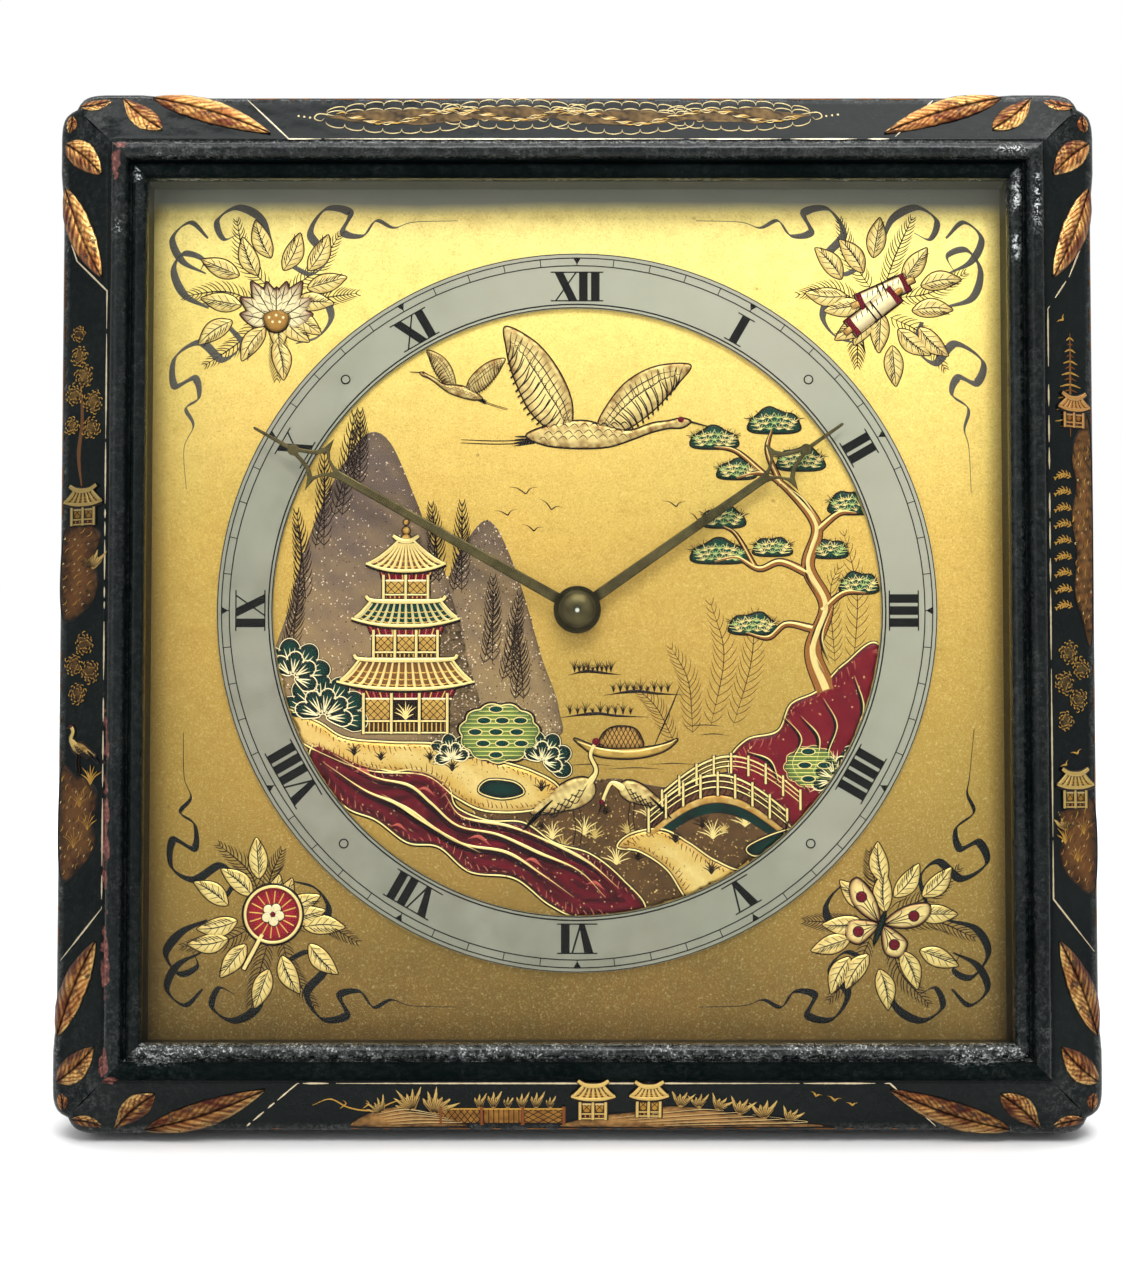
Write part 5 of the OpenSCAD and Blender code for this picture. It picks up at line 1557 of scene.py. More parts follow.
def foot_of_pagoda(art):
    bank = [(-66, -22), (-58, -25), (-52, -28.5), (-42, -29.5), (-30, -30), (-20, -33), (-10, -36), (-4, -40),
            (-9, -44.5), (-20, -45), (-27, -42), (-34, -37), (-46, -36), (-55, -33), (-66, -27)]
    sand_bank(art, bank, [[(-20, -38), (-14, -38.5), (-12, -41), (-17, -42.2), (-22, -40.6)]],
              [(-50, -32.5, 0.8), (-44, -33.6, 0.7), (-28, -36, 0.9), (-33, -33.6, 0.7), (-8, -40.5, 0.8)])
    crimson_stream(art)
    scallops(art, (-57, -24), 11.5, 78, 6)
    scallops(art, (-64, -15), 9.5, 55, 5)
    bush(art, (-17.5, -27.5), 8.6, 6.4, seed=1)
    scallops(art, (-8, -34), 7.6, 62, 5)
    scallops(art, (-28, -33.5), 6.4, 100, 5)


def right_side(art):
    """The old pine on its rock, with the bridge that leads to it."""
    for points, reach in (([(30, -26), (33, -10), (30, 2)], 5.0), ([(35, -26), (39, -12), (40, 0)], 5.0),
                          ([(26, -28), (25, -16), (21, -8)], 4.4), ([(22, -30), (18, -22), (13, -17)], 3.8),
                          ([(62, -14), (63, 4), (60, 18)], 4.5), ([(58, -12), (57, 4), (59, 10)], 4.0)):
        fern(art, points, reach, 15, rgb(70, 42, 20), 0.26, 42)
    rock = [(68, -8), (60, -12), (54, -18), (48, -21), (45, -27), (38, -29), (34, -34), (36, -40), (44, -43),
            (50, -50), (60, -44), (70, -30)]

    def red(x, z, d):
        return lerp(lerp(BLACK, CRIMSON, d * 0.9), rgb(140, 34, 44), 0.35 * (1 + wobble(x * 0.5, z * 0.4)))

    stones(art, rock, red,
           [[(46, -24), (50, -29), (48, -35), (52, -41)], [(55, -20), (58, -26), (56, -33), (59, -38)],
            [(38, -32), (43, -34), (45, -39)], [(62, -15), (64, -22), (62, -28)],
            [(50, -24), (54, -29), (53, -36)]])
    sprinkle(art, rock, 260, 0.34, [ROSE, GOLD_HI, WINE], 0.42)
    edge_hatch(art, rock, BRICK, 1.9, 0.42)
    trunk = [(56, -18), (53, -9), (56, 1), (52, 10), (54, 19), (48, 27), (42, 31), (36, 30)]
    pine_branch(art, trunk, (4.6, 3.6, 3.0, 2.8, 2.4, 1.9, 1.3, 0.8))
    for line in ([(55, -14), (52.6, -8), (54.6, -1)], [(56.6, -12), (54.6, -6), (57, 1)],
                 [(53.6, 4), (51.4, 9), (52.6, 16)], [(54, 20), (50.6, 25), (46.6, 28)]):
        art.stroke(line, (0.2, 0.6, 0.3), LINE, 0.1, base=0.44)
        art.stroke(np.asarray(line) + [0.5, 0.1], (0.15, 0.4, 0.15), GOLD_HI, 0.14, metal=0.7, base=0.44)
    for branch, widths in (([(53, 8), (46, 11), (41, 9.5), (36, 12), (31, 11)], (1.7, 1.4, 1.1, 0.8, 0.5)),
                           ([(53, -4), (47, -3), (43, -6), (38, -5)], (1.6, 1.1, 0.9, 0.5)),
                           ([(54, 18), (59, 22), (63, 22)], (1.5, 1.1, 0.6)),
                           ([(55, 0), (60, 4), (65, 4)], (1.5, 1.0, 0.5)),
                           ([(46, 28.5), (43, 36), (44, 41)], (1.3, 0.9, 0.5)),
                           ([(42, 31), (36, 36), (31, 37)], (1.1, 0.8, 0.4)),
                           ([(40, 10), (36, 17), (33, 19)], (0.9, 0.6, 0.4))):
        pine_branch(art, branch, widths)
    for k, (x, z, wide, tall) in enumerate([(32, 11.5, 13, 4.6), (33, 19.5, 10, 4.2), (39.5, -4.6, 11, 4.2),
                                            (62, 22.6, 11, 4.6), (63.5, 4.6, 9, 4.2), (44.5, 41, 12, 4.8),
                                            (31, 37.4, 11, 4.2), (36, 30.4, 9, 3.8), (50.5, 32.5, 11, 4.6),
                                            (44, 13, 9, 3.6), (57, 12.5, 8, 3.6)]):
        pine_pad(art, (x, z), wide, tall, k)


def middle(art):
    """Far shores, reeds and a moored boat."""
    for x0, x1, z in ((-4, 16, -24), (6, 24, -19), (-2, 10, -14.5)):
        art.stroke([(x0, z), ((x0 + x1) / 2 - 2, z + 0.9), ((x0 + x1) / 2 + 3, z + 0.4), (x1, z + 0.1)],
                   (0.25, 0.9, 0.6, 0.25), LINE, 0.12)
        for k in range(9):
            x = x0 + (x1 - x0) * (0.12 + 0.085 * k)
            tuft(art, (x, z + 0.7), 1.6 + 1.5 * abs(math.sin(k * 1.3 + x0)), LINE, 5, 40, h=0.1, width=0.26,
                 seed=k)
    hull = [(1, -30.5), (5, -32.8), (13, -33.2), (19.5, -31.6), (22.6, -28.8), (18, -30.2), (11, -30.9),
            (5, -30.6), (-0.6, -28.6)]
    art.shape(hull, wash(UMBER, GOLD, slope=1.3), 0.4, 0.5, 0.6, 0.6, rim=(0.55, LINE, 0.3))
    art.stroke([(0, -29.4), (6, -31.2), (13, -31.6), (20, -30.0), (22.2, -28.9)], 0.42, GOLD_HI, 0.1, metal=0.7,
               base=0.4)
    hood = [(5.4, -30.6), (5.8, -27.6), (8.4, -26.0), (12.4, -26.2), (14.2, -28.0), (14.2, -30.9)]
    art.shape(hood, wash(UMBER, rgb(196, 150, 80), slope=1), 0.5, 0.6, 0.6, 0.6, rim=(0.5, LINE, 0.34))
    for angle in (62, 118):
        for pair in hatch(hood, angle, 0.9):
            art.bar(pair, 0.24, LINE, 0.06, 0.5)
    art.stroke([(17, -31), (21, -22), (23, -17)], 0.4, LINE, 0.3)
    for k, (z, x0, x1) in enumerate(((-34.8, -3, 8), (-35.6, 6, 20), (-34.6, 16, 27), (-26, 24, 33),
                                     (-28, 27, 34))):
        art.stroke([(x0, z), ((x0 + x1) / 2, z + 0.35), (x1, z)], (0.15, 0.36, 0.15), LINE, 0.1)


def picture():
    art = Art(on_picture)
    left_side(art)
    middle(art)
    right_side(art)
    ground(art)
    foot_of_pagoda(art)
    bridge(art, 16, 47, -49.5, 8.2)
    bank = [(24, -64), (20, -58), (14, -54), (9, -53), (12, -50), (19, -49), (25, -52), (31, -56), (38, -58),
            (46, -52), (52, -46), (58, -40), (64, -30), (70, -44), (50, -62), (30, -72)]
    sand_bank(art, bank, [[(40, -55), (46, -53), (49, -49), (44, -50), (38, -53)]],
              [(30, -59, 0.9), (56, -43, 0.9), (22, -52, 0.8)])
    scallops(art, (58, -38), 9.6, 112, 6)
    bush(art, (52.5, -35), 6.0, 4.6, seed=3)
    flying_crane(art, (3, 40), 36, -6)
    flying_crane(art, (-27, 50), 15, -12, True)
    small_birds(art, [(-12, 27, 3.0, 12), (-6, 23.5, 2.6, -8), (-16, 22, 2.4, 16), (-10, 18.5, 2.2, 4),
                      (22, 24, 2.3, 10), (27, 21, 1.9, -6)])
    standing_crane(art, (-1, -54), 25)
    standing_crane(art, (13, -50), 18, True, True)
    art.build("raised_picture", "paint", "gilt_dial")


picture()


# ---- sprays and ribbons in the dial's corners ----

def ribbon(art, points, wide, tint, nib=40, taper=(0.2, 1, 1, 0.5)):
    """A folded ribbon, broad or thin by the way it runs, like the line of a flat brush."""
    p = smooth_line(points, 0.4)
    along = np.gradient(p, axis=0)
    turned = np.abs(np.sin(np.arctan2(along[:, 1], along[:, 0]) - math.radians(nib)))
    s = np.linspace(0, 1, len(p))
    width = wide * (0.22 + 0.78 * turned**1.3) * np.interp(s, np.linspace(0, 1, len(taper)), taper)
    art.stroke(p, np.maximum(width, 0.24), tint, 0.07, ends=(0.7, 0.7), raw=True)


def outlined_leaf(art, base, tip, width, seed, red=False):
    """A leaf drawn mostly in line, over gold that is only a little raised."""
    def fill(x, z, d):
        colour = lerp(rgb(232, 200, 116), GOLD_HI, d * 0.9)
        return lerp(colour, rgb(150, 62, 40) if red else rgb(150, 116, 62),
                    0.12 + 0.6 * wobble(x * 1.4, z * 1.1, seed) - 0.2 * d)

    leaf(art, base, tip, width, fill, LINE, 0.2, 4, 0.07 * math.sin(seed * 2.1))
    base, tip = np.asarray(base, float), np.asarray(tip, float)
    aside = np.array([-(tip - base)[1], (tip - base)[0]]) / np.hypot(*(tip - base))
    for k in range(8):
        u = 0.16 + 0.085 * k
        start = base + (tip - base) * u + aside * 0.25
        art.stroke([start, start + (tip - base) * 0.16 + aside * width * 0.2], 0.26, LINE, 0.05, ends=(1, 0.4),
                   base=0.2)


def lotus(art, at):
    at = np.array(at, float)
    for k, (angle, long) in enumerate([(12, 8.5), (168, 8.5), (34, 10), (146, 10), (58, 11), (122, 11),
                                       (76, 9.5), (104, 9.5), (90, 8)]):
        way = unit(math.radians(angle))

        def petal(x, z, d):
            far = np.hypot(x - at[0], z - at[1]) / long
            return lerp(lerp(GOLD_LO, CREAM, d * 1.5 + 0.2), CRIMSON, far * 2.2 - 1.25)

        leaf(art, at + way * 1.0, at + way * long, 4.4 - 0.1 * k, petal, LINE, 0.34 + 0.04 * k, 3, 0.0, 0.5)
    cup = [(-3.2, 1.2), (-1.6, 2.6), (0, 3.0), (1.6, 2.6), (3.2, 1.2), (2.2, -1.6), (0, -2.6), (-2.2, -1.6)]
    art.shape(np.array(cup) + at, wash(LINE, rgb(176, 130, 62), slope=1), 0.75, 0.6, 0.5, 0.5,
              rim=(0.4, LINE, 0.6))
    art.dots([at + [dx, dz] for dx, dz in ((-1.6, 0.9), (0, 1.4), (1.6, 0.9), (-0.8, -0.1), (0.8, -0.1))], 0.8,
             CREAM, 0.12, 0.3, 0.75)


def scroll(art, at, turned, long, wide, lift):
    """A rolled scroll with crimson ends and a tied band."""
    m = partial(moved, at=at, angle=turned)
    a, b = long / 2, wide / 2
    art.shape(m(box(-a - 1.6, -0.8, a + 1.6, 0.8)), gild, lift - 0.1, 0.3, 0.6, 0.7, rim=(0.4, LINE, 0.3),
              sharp=True)
    art.shape(m(box(-a, -b, a, b)), wash(GOLD_LO, CREAM, slope=0.9), lift, b * 0.8, 0.7, 0.6,
              rim=(0.45, LINE, lift * 0.8), sharp=True)
    for x in (-a + 0.9, a - 0.9):
        art.stroke(m([(x, -b + 0.1), (x, b - 0.1)]), 1.3, CRIMSON, 0.12, ends=(1, 1), base=lift * 0.9)
    for x in (-0.7, 0.7):
        art.stroke(m([(x, -b), (x, b)]), 0.4, LINE, 0.1, ends=(1, 1), base=lift)
    for k in range(7):
        x = -a + 2.4 + k * (long - 4.8) / 6
        art.stroke(m([(x, b * 0.1), (x + 0.7, b * 0.75)]), 0.24, LINE, 0.06, base=lift)


def round_fan(art, at, turned):
    """A round fan with a rayed border and a five-lobed flower on it."""
    m = partial(moved, at=at, angle=turned)
    art.stroke(m([(0, -5), (0, -14)]), 1.5, LINE, 0.45, ends=(1, 0.9))
    art.stroke(m([(0, -5), (0, -13.8)]), 0.95, GOLD_HI, 0.2, ends=(1, 0.9), metal=0.7, base=0.42)
    art.shape(m(circle(6.6, (0, 0), 40)), wash(rgb(80, 8, 24), rgb(158, 34, 48), 0, 0.4, 0.2), 0.5, 0.7, 0.7,
              0.0, rim=(1.0, LINE, 0.4))
    art.stroke(m(circle(6.2, (0, 0), 48)), 0.7, GOLD_HI, 0.16, closed=True, metal=0.7, base=0.42)
    for k in range(16):
        way = unit(k * math.tau / 16)
        art.stroke(m([way * 2.3, way * 5.3]), 0.32, GOLD, 0.08, ends=(0.6, 1), base=0.5, metal=0.6)
    for k in range(5):
        art.shape(m(circle(1.15, 1.5 * unit(k * math.tau / 5 + 0.3), 12)), CREAM, 0.14, 0.4, 0.4, 0.4, base=0.5,
                  rim=(0.28, LINE, 0.16))
    art.shape(m(circle(0.7, (0, 0), 10)), CRIMSON, 0.2, 0.3, 0.3, 0.0, base=0.5)


def butterfly(art, at, turned):
    """A butterfly seen from above, with spotted and veined wings."""
    wings = [([(0.6, 0.6), (3.5, 5.2), (8.2, 7.8), (9.6, 5.6), (7.8, 2.2), (3.6, 0.2)], 0.5),
             ([(0.6, -0.4), (4.0, -0.6), (7.0, -2.2), (6.4, -5.6), (3.4, -6.2), (1.4, -3.6)], 0.42)]
    for side in (False, True):
        for wing, lift in reversed(wings):
            outline = moved(moved(wing, flip=side), at, 1, turned)
            art.shape(outline, wash(rgb(120, 50, 30), GOLD_HI, -0.1, 1.1), lift, 0.7, 0.6, 0.6,
                      rim=(0.45, LINE, lift * 0.8))
            middle = np.mean(wing, axis=0)
            root = np.array([0.8, 0.2 if lift > 0.45 else -0.6])
            for tip in wing[1:5]:
                line = moved(moved([root, (root + middle) / 2 * 0.6 + np.array(tip) * 0.4,
                                    np.array(tip) * 0.86], flip=side), at, 1, turned)
                art.stroke(line, 0.28, LINE, 0.07, base=lift)
            spot = moved(moved(circle(1.15, middle * 1.12, 14), flip=side), at, 1, turned)
            art.shape(spot, CRIMSON, 0.1, 0.3, 0.4, 0.0, base=lift, rim=(0.34, LINE, 0.1))
    art.shape(moved([(-0.7, 0.5), (0, 3.0), (0.7, 0.5), (0.5, -3.4), (0, -5.2), (-0.5, -3.4)], at, 1, turned),
              pitch, 0.7, 0.4, 0.4, 0.0, rim=(0.3, LINE, 0.5))
    for side in (-1, 1):
        art.stroke(moved([(0.3 * side, 2.6), (1.6 * side, 5.4), (3.2 * side, 7.0), (3.0 * side, 7.9)], at, 1,
                         turned), 0.3, LINE, 0.1)


# ribbons as points, breadth and its course; the last two stand without a counterpart
RIBBONS = [([(-27, 88.6), (-37, 88.3), (-41.5, 87.0), (-45.5, 88.6), (-48.5, 85.2), (-53, 86.0), (-51.5, 90.4),
             (-57, 91.2), (-60.4, 85.6), (-56.6, 80.4), (-60, 76.4), (-65, 78.5)], 2.5,
            (0.1, 0.14, 0.5, 0.9, 1, 1, 1, 0.7)),
           ([(-69, 83), (-71.5, 89), (-77, 91.6), (-81.5, 88.6), (-80, 84.4), (-76.4, 85.8)], 2.5,
            (0.4, 1, 1, 0.3)),
           ([(-63.5, 60.6), (-58.5, 62.2), (-55.6, 66.6), (-57.6, 71), (-61.6, 70.4)], 2.3, (0.5, 1, 1, 0.3)),
           ([(-84, 76.5), (-89.4, 79.4), (-91.6, 84.6), (-87.6, 88.2), (-83.6, 84.6)], 2.2, (0.3, 1, 1, 0.4))]
# what stands round the middle of a corner: its direction in degrees, and 0 for a fern or 1 for leaves
SPRAY = [(8, 0), (32, 1), (58, 0), (84, 1), (112, 0), (142, 1), (168, 0), (196, 1), (224, 0), (250, 1),
         (278, 0), (300, 1), (332, 1)]


EMBLEM_X, EMBLEM_Z = 68.0, 69.5  # the middle of a corner's picture


def spandrel(side_x, side_z, tint, seed, emblem):
    """One corner: ribbons, ferns and leaves laid out for the top left and mirrored to its place."""
    art = Art(on_dial, flip=(-side_x, side_z))
    for k, (points, wide, taper) in enumerate(RIBBONS):
        pts = np.array(points)
        ribbon(art, pts, wide, tint, 40, taper)
        if k < 2:
            other = -pts[:, ::-1] + 0.5 * np.sin(pts[:, :1] * 0.4 + seed)
            ribbon(art, other, wide, tint, 50, taper)
    centre = np.array([-EMBLEM_X, EMBLEM_Z])
    for k, (angle, kind) in enumerate(SPRAY):
        angle += 9 * math.sin(seed * 1.7 + k * 2.3)
        a = math.radians(angle)
        way, aside = unit(a), unit(a + math.pi / 2)
        room = 20 - 8.5 * max(0, math.cos(a - math.radians(315))) ** 2
        if kind == 0:
            bow = 2.4 * math.sin(k * 1.9 + seed)
            fern(art, [centre + way * 4, centre + way * room * 0.6 + aside * bow,
                       centre + way * (room + 1.5) + aside * bow * 0.2], 3.6, 17, LINE, 0.34, 44, 0.1)
        else:
            for part, out in ((-1, 0.86), (1, 1.0)):
                base = centre + way * (room * out - 9.4) + aside * 1.5 * part
                outlined_leaf(art, base, base + way * 8.6 + aside * 3.6 * part, 4.3, k + seed + part,
                              (k + seed) % 4 == 1)
    corner = f"{'left' if side_x < 0 else 'right'}_{'top' if side_z > 0 else 'bottom'}"
    art.build("spray_" + corner, "paint", "gilt_dial")
    own = Art(on_dial)
    emblem(own, (EMBLEM_X * side_x, EMBLEM_Z * side_z))
    own.build("emblem_" + corner, "paint", "gilt_dial")


def scrolls(art, at):
    scroll(art, np.array(at) + [1.2, 2.6], 24, 12.5, 4.4, 0.5)
    scroll(art, np.array(at) + [-1.0, -1.6], 38, 13.5, 4.6, 0.75)


# the ribbons of the top corners are painted a lighter grey as painted sheen; those of the bottom corners are
# near black
spandrel(-1, 1, rgb(92, 88, 82), 0, lambda art, at: lotus(art, (at[0], at[1] - 4)))
spandrel(1, 1, rgb(92, 88, 82), 2, scrolls)
spandrel(-1, -1, rgb(22, 24, 24), 5, lambda art, at: round_fan(art, (at[0], at[1] + 1.5), -28))
spandrel(1, -1, rgb(22, 24, 24), 3, lambda art, at: butterfly(art, (at[0], at[1] - 0.5), -20))


# ---- gilt lines and painting on the rails ----

def worn_line(art, points, width, seed, rub=0.6, tint=rgb(255, 250, 235)):
    """A straight-sided gilt line with gaps where it is rubbed away."""
    p = []
    for a, b in zip(np.array(points[:-1], float), np.array(points[1:], float)):
        n = max(2, int(np.hypot(*(b - a)) / 0.4))
        p.append(a + (b - a) * (np.arange(n) / n)[:, None])
    p = np.vstack(p)
    s = np.arange(len(p)) * 0.4
    kept = wobble(s * 0.31, s * 0.05, seed) + 0.25 * wobble(s * 1.9, 0, seed + 2) < rub
    start = None
    for i, keep in enumerate([*kept, False]):
        if keep and start is None:
            start = i
        elif not keep and start is not None:
            if i - start > 3:
                wide = width * (0.85 + 0.25 * wobble(s[start:i] * 0.8, 0, seed + 5))
                art.stroke(p[start:i], wide, tint, 0.05, raw=True, metal=0.8)
            start = None


def cloud(art, x0, x1, z, tall, seed=0):
    """A drifting cloud: a long brown-gold wash edged with pale scalloped lines."""
    n = int((x1 - x0) / 4)
    x = np.linspace(x0, x1, 9)
    up = tall * 0.34 * np.sin(np.linspace(0.1, math.pi - 0.1, 9)) * (1 + 0.3 * wobble(x * 0.4, 0, seed))
    art.shape(np.stack([np.r_[x, x[-2:0:-1]], np.r_[z + up, z - up[-2:0:-1] * 0.8]], -1),
              wash(rgb(44, 34, 24), rgb(150, 122, 78), 0.35, 0, 0.6, 0.7, 1.9, seed), 0.1, 0.5, 0.6, 0.5)
    for k in range(5 * n):
        px, pz = x0 + 3 + (x1 - x0 - 6) * ((k * 0.618 + seed * 0.13) % 1), z + tall * 0.2 * math.sin(k * 2.4)
        art.stroke([(px - 1.3, pz), (px, pz + 0.5 * math.sin(k * 1.7)), (px + 1.4, pz + 0.1)], 0.26,
                   (CREAM, GOLD, LINE)[k % 3], 0.07, metal=0.5, base=0.1)
    for side, share in ((1, 0.5), (-1, 0.46), (1, 0.22)):
        for k in range(n):
            a, b = x0 + (x1 - x0) * k / n, x0 + (x1 - x0) * (k + 1) / n
            edge = [z + side * tall * share * math.sin(math.pi * (0.12 + 0.76 * (q - x0) / (x1 - x0)))
                    for q in (a, (a + b) / 2, b)]
            art.stroke([(a, edge[0]), (a + 0.4, edge[0] + side * 0.7), ((a + b) / 2, edge[1] + side * 1.0),
                        (b - 0.3, edge[2] + side * 0.6), (b, edge[2] - side * 0.3)], 0.28, CREAM, 0.1,
                       metal=0.5)
    for at, way in ((x0, -1), (x1, 1)):
        art.stroke([(at - way * 3, z + 0.2), (at + way * 1.5, z + 1.0), (at + way * 2.6, z - 0.2),
                    (at + way * 1.2, z - 0.9), (at + way * 0.4, z - 0.2)], 0.3, CREAM, 0.1, metal=0.5)
        art.dots([(at + way * (3.6 + 1.3 * k), z + 0.2 * k) for k in range(3)], 0.55, CREAM, 0.08, 0.5)


def clump(art, at, size, tint=GOLD_LO, seed=0):
    """A tree top: a ragged brown mass under many short curved leaf strokes."""
    t = np.linspace(0, math.tau, 26, endpoint=False)
    r = size * 0.5 * (0.8 + 0.2 * np.sin(t * 5 + seed) + 0.12 * np.sin(t * 9 + 2 * seed))
    outline = np.stack([at[0] + r * np.cos(t) * 0.85, at[1] + r * np.sin(t)], -1)
    art.shape(outline, wash(rgb(44, 28, 16), tint, 0, 0.45, 0.3, 2, 2, seed), 0.2, 0.6, 0.5, 0.3)
    for k in range(int(size * 6)):
        a, far = k * 2.4 + seed, size * 0.5 * math.sqrt((k + 0.5) / (size * 6))
        spot = np.array(at) + [far * math.cos(a) * 0.85, far * math.sin(a)]
        way = a + 0.8 * math.sin(k * 1.3)
        leaf_line = circle(0.34 + 0.12 * math.sin(k), spot, 6, math.degrees(way) - 70, math.degrees(way) + 70)
        gold = lerp(tint, GOLD, [0.3 + 0.6 * abs(math.sin(k * 2.7))])[0]
        art.stroke(leaf_line, 0.24, gold, 0.09, metal=0.6, base=0.17)


def little_house(art, cx, z0, half_w, red=True, fade=1.0):
    """A small open pavilion under one curved roof, darker than the rest by fade."""
    art.dim = art.dim * fade
    tall = half_w * 1.1
    storey(art, cx, z0, half_w * 0.78, tall, 2)
    if red:
        under_eave(art, cx, z0 + tall + 0.4, half_w * 0.9, 0.9)
    roof(art, cx, z0 + tall + 0.6, half_w * 1.35, half_w * 0.9, half_w * 0.6, 7, 0.7)
    art.dim = art.dim / fade


def crag(art, outline, seed=0, angle=66, tint=rgb(124, 88, 54)):
    """A dark rock face, its folds in short gilt, brown and red strokes."""
    art.shape(outline, wash(rgb(36, 26, 20), tint, 0.1, 0.3, 0.6, 1.3, 0.9, seed), 0.22, 0.9, 0.7, 0.3,
              rim=(0.4, BLACK, 0.14))
    for k, (a, b) in enumerate(hatch(outline, angle, 0.85)):
        a, b = np.array(a, float), np.array(b, float)
        far = np.hypot(*(b - a))
        along = (b - a) / max(far, 1e-6)
        aside = np.array([-along[1], along[0]])
        for j in range(int(far / 2.3)):
            at = a + along * (0.5 + 2.3 * j + 0.6 * math.sin(k * 2.3 + j * 1.9))
            long = 1.2 + 0.7 * math.sin(k * 1.3 + j * 2.7)
            art.stroke([at, at + along * long * 0.5 + aside * 0.35 * math.sin(j + k), at + along * long], 0.26,
                       (GOLD, rgb(176, 132, 80), LINE, rgb(132, 66, 52), CREAM)[(3 * k + j) % 5], 0.08,
                       metal=0.6, base=0.2)


def palm(art, at, reach, turned, count=7, spread=66):
    """A bush of pointed fronds from one root, gilt with dark lines between."""
    at = np.array(at, float)
    fan = []
    for k in range(2 * count + 1):
        a = math.radians(turned + spread * (k / count - 1))
        far = reach * ((0.82 + 0.18 * math.sin(k * 2.1)) if k % 2 else 0.5)
        fan.append(at + far * unit(a))
    fan.append(at + 0.6 * unit(math.radians(turned + 180)))

    def frond(x, z, d):
        far = np.hypot(x - at[0], z - at[1]) / reach
        return lerp(GOLD_LO, GOLD_HI, 0.25 + far * 0.8 + 0.3 * wobble(x * 2, z * 2))

    art.shape(fan, frond, 0.22, 0.4, 0.5, 0.6, sharp=True)
    for k in range(2 * count):
        way = unit(math.radians(turned + spread * ((k + 0.5) / count - 1)))
        art.stroke([at + way * 0.5, at + way * reach * (0.5 if k % 2 else 0.66)], 0.22, LINE, 0.05, base=0.21,
                   ends=(1, 0.5))


def bank(art, outline, seed=0):
    """A gold-brown hill with long flowing folds drawn in black."""
    outline = np.array(outline, float)
    art.shape(outline, wash(rgb(72, 50, 34), rgb(206, 164, 110), 0.25, 0.4, 0.6, 0.6, 1.8, seed), 0.24, 0.8,
              0.6, 0.5, rim=(0.4, BLACK, 0.12))
    n = len(outline) // 2
    crest, foot = outline[:n + 1], outline[n:][::-1]
    foot = np.vstack([foot, outline[:1]])[:len(crest)] if len(foot) < len(crest) else foot[:len(crest)]
    for share in (0.2, 0.36, 0.52, 0.68, 0.84):
        fold = crest * (1 - share) + foot * share
        fold[:, 1] += 0.3 * wobble(crest[:, 0] * 0.5, 0, seed + share)
        art.stroke(fold[1:-1], 0.28, BLACK, 0.06, base=0.22)
        art.stroke(fold[1:-1] + [0, 0.26], 0.2, CREAM, 0.07, metal=0.6, base=0.22)


def fence(art, x0, x1, z0, tall):
    """Lattice panels between posts."""
    n = max(1, round((x1 - x0) / 8))
    for k in range(n):
        a, b = x0 + (x1 - x0) * k / n, x0 + (x1 - x0) * (k + 1) / n
        panel = box(a + 0.3, z0, b - 0.3, z0 + tall)
        art.shape(panel, wash(rgb(110, 66, 34), rgb(196, 150, 78), 0.6, swing=0.5), 0.12, 0.3, 0.8, 0.5,
                  rim=(0.32, LINE, 0.12), sharp=True)
        for angle in ((52, -52), (90,), (30, -30))[k % 3]:
            for pair in hatch(panel, angle, 1.1):
                art.bar(pair, 0.26, LINE, 0.05, 0.12)
        art.stroke([(a, z0 + tall + 0.1), (b, z0 + tall + 0.1)], 0.42, GOLD, 0.12, ends=(1, 1), metal=0.7,
                   base=0.1)
    for k in range(n + 1):
        x = x0 + (x1 - x0) * k / n
        art.stroke([(x, z0 - 0.4), (x, z0 + tall + 0.7)], 0.8, rgb(150, 90, 50), 0.3, ends=(1, 1))


def top_rail_art():
    art = Art(on_band_level, dim=(0.6, 0.57, 0.48))
    worn_line(art, [(-74, 114.4), (-64, 104.0), (70, 104.0), (80, 114.4)], 0.42, 1)
    worn_line(art, [(-73, 114.5), (79, 114.5)], 0.3, 4, 0.25, GOLD_LO)
    for x0, x1, z, tall, seed in ((-56, -22, 109.6, 7.0, 1), (-30, 2, 110.4, 6.4, 2), (-6, 26, 109.4, 7.0, 3),
                                  (20, 52, 110.0, 6.4, 4)):
        cloud(art, x0, x1, z, tall, seed)
    art.build("painting_top", "rail_paint", "lacquer")


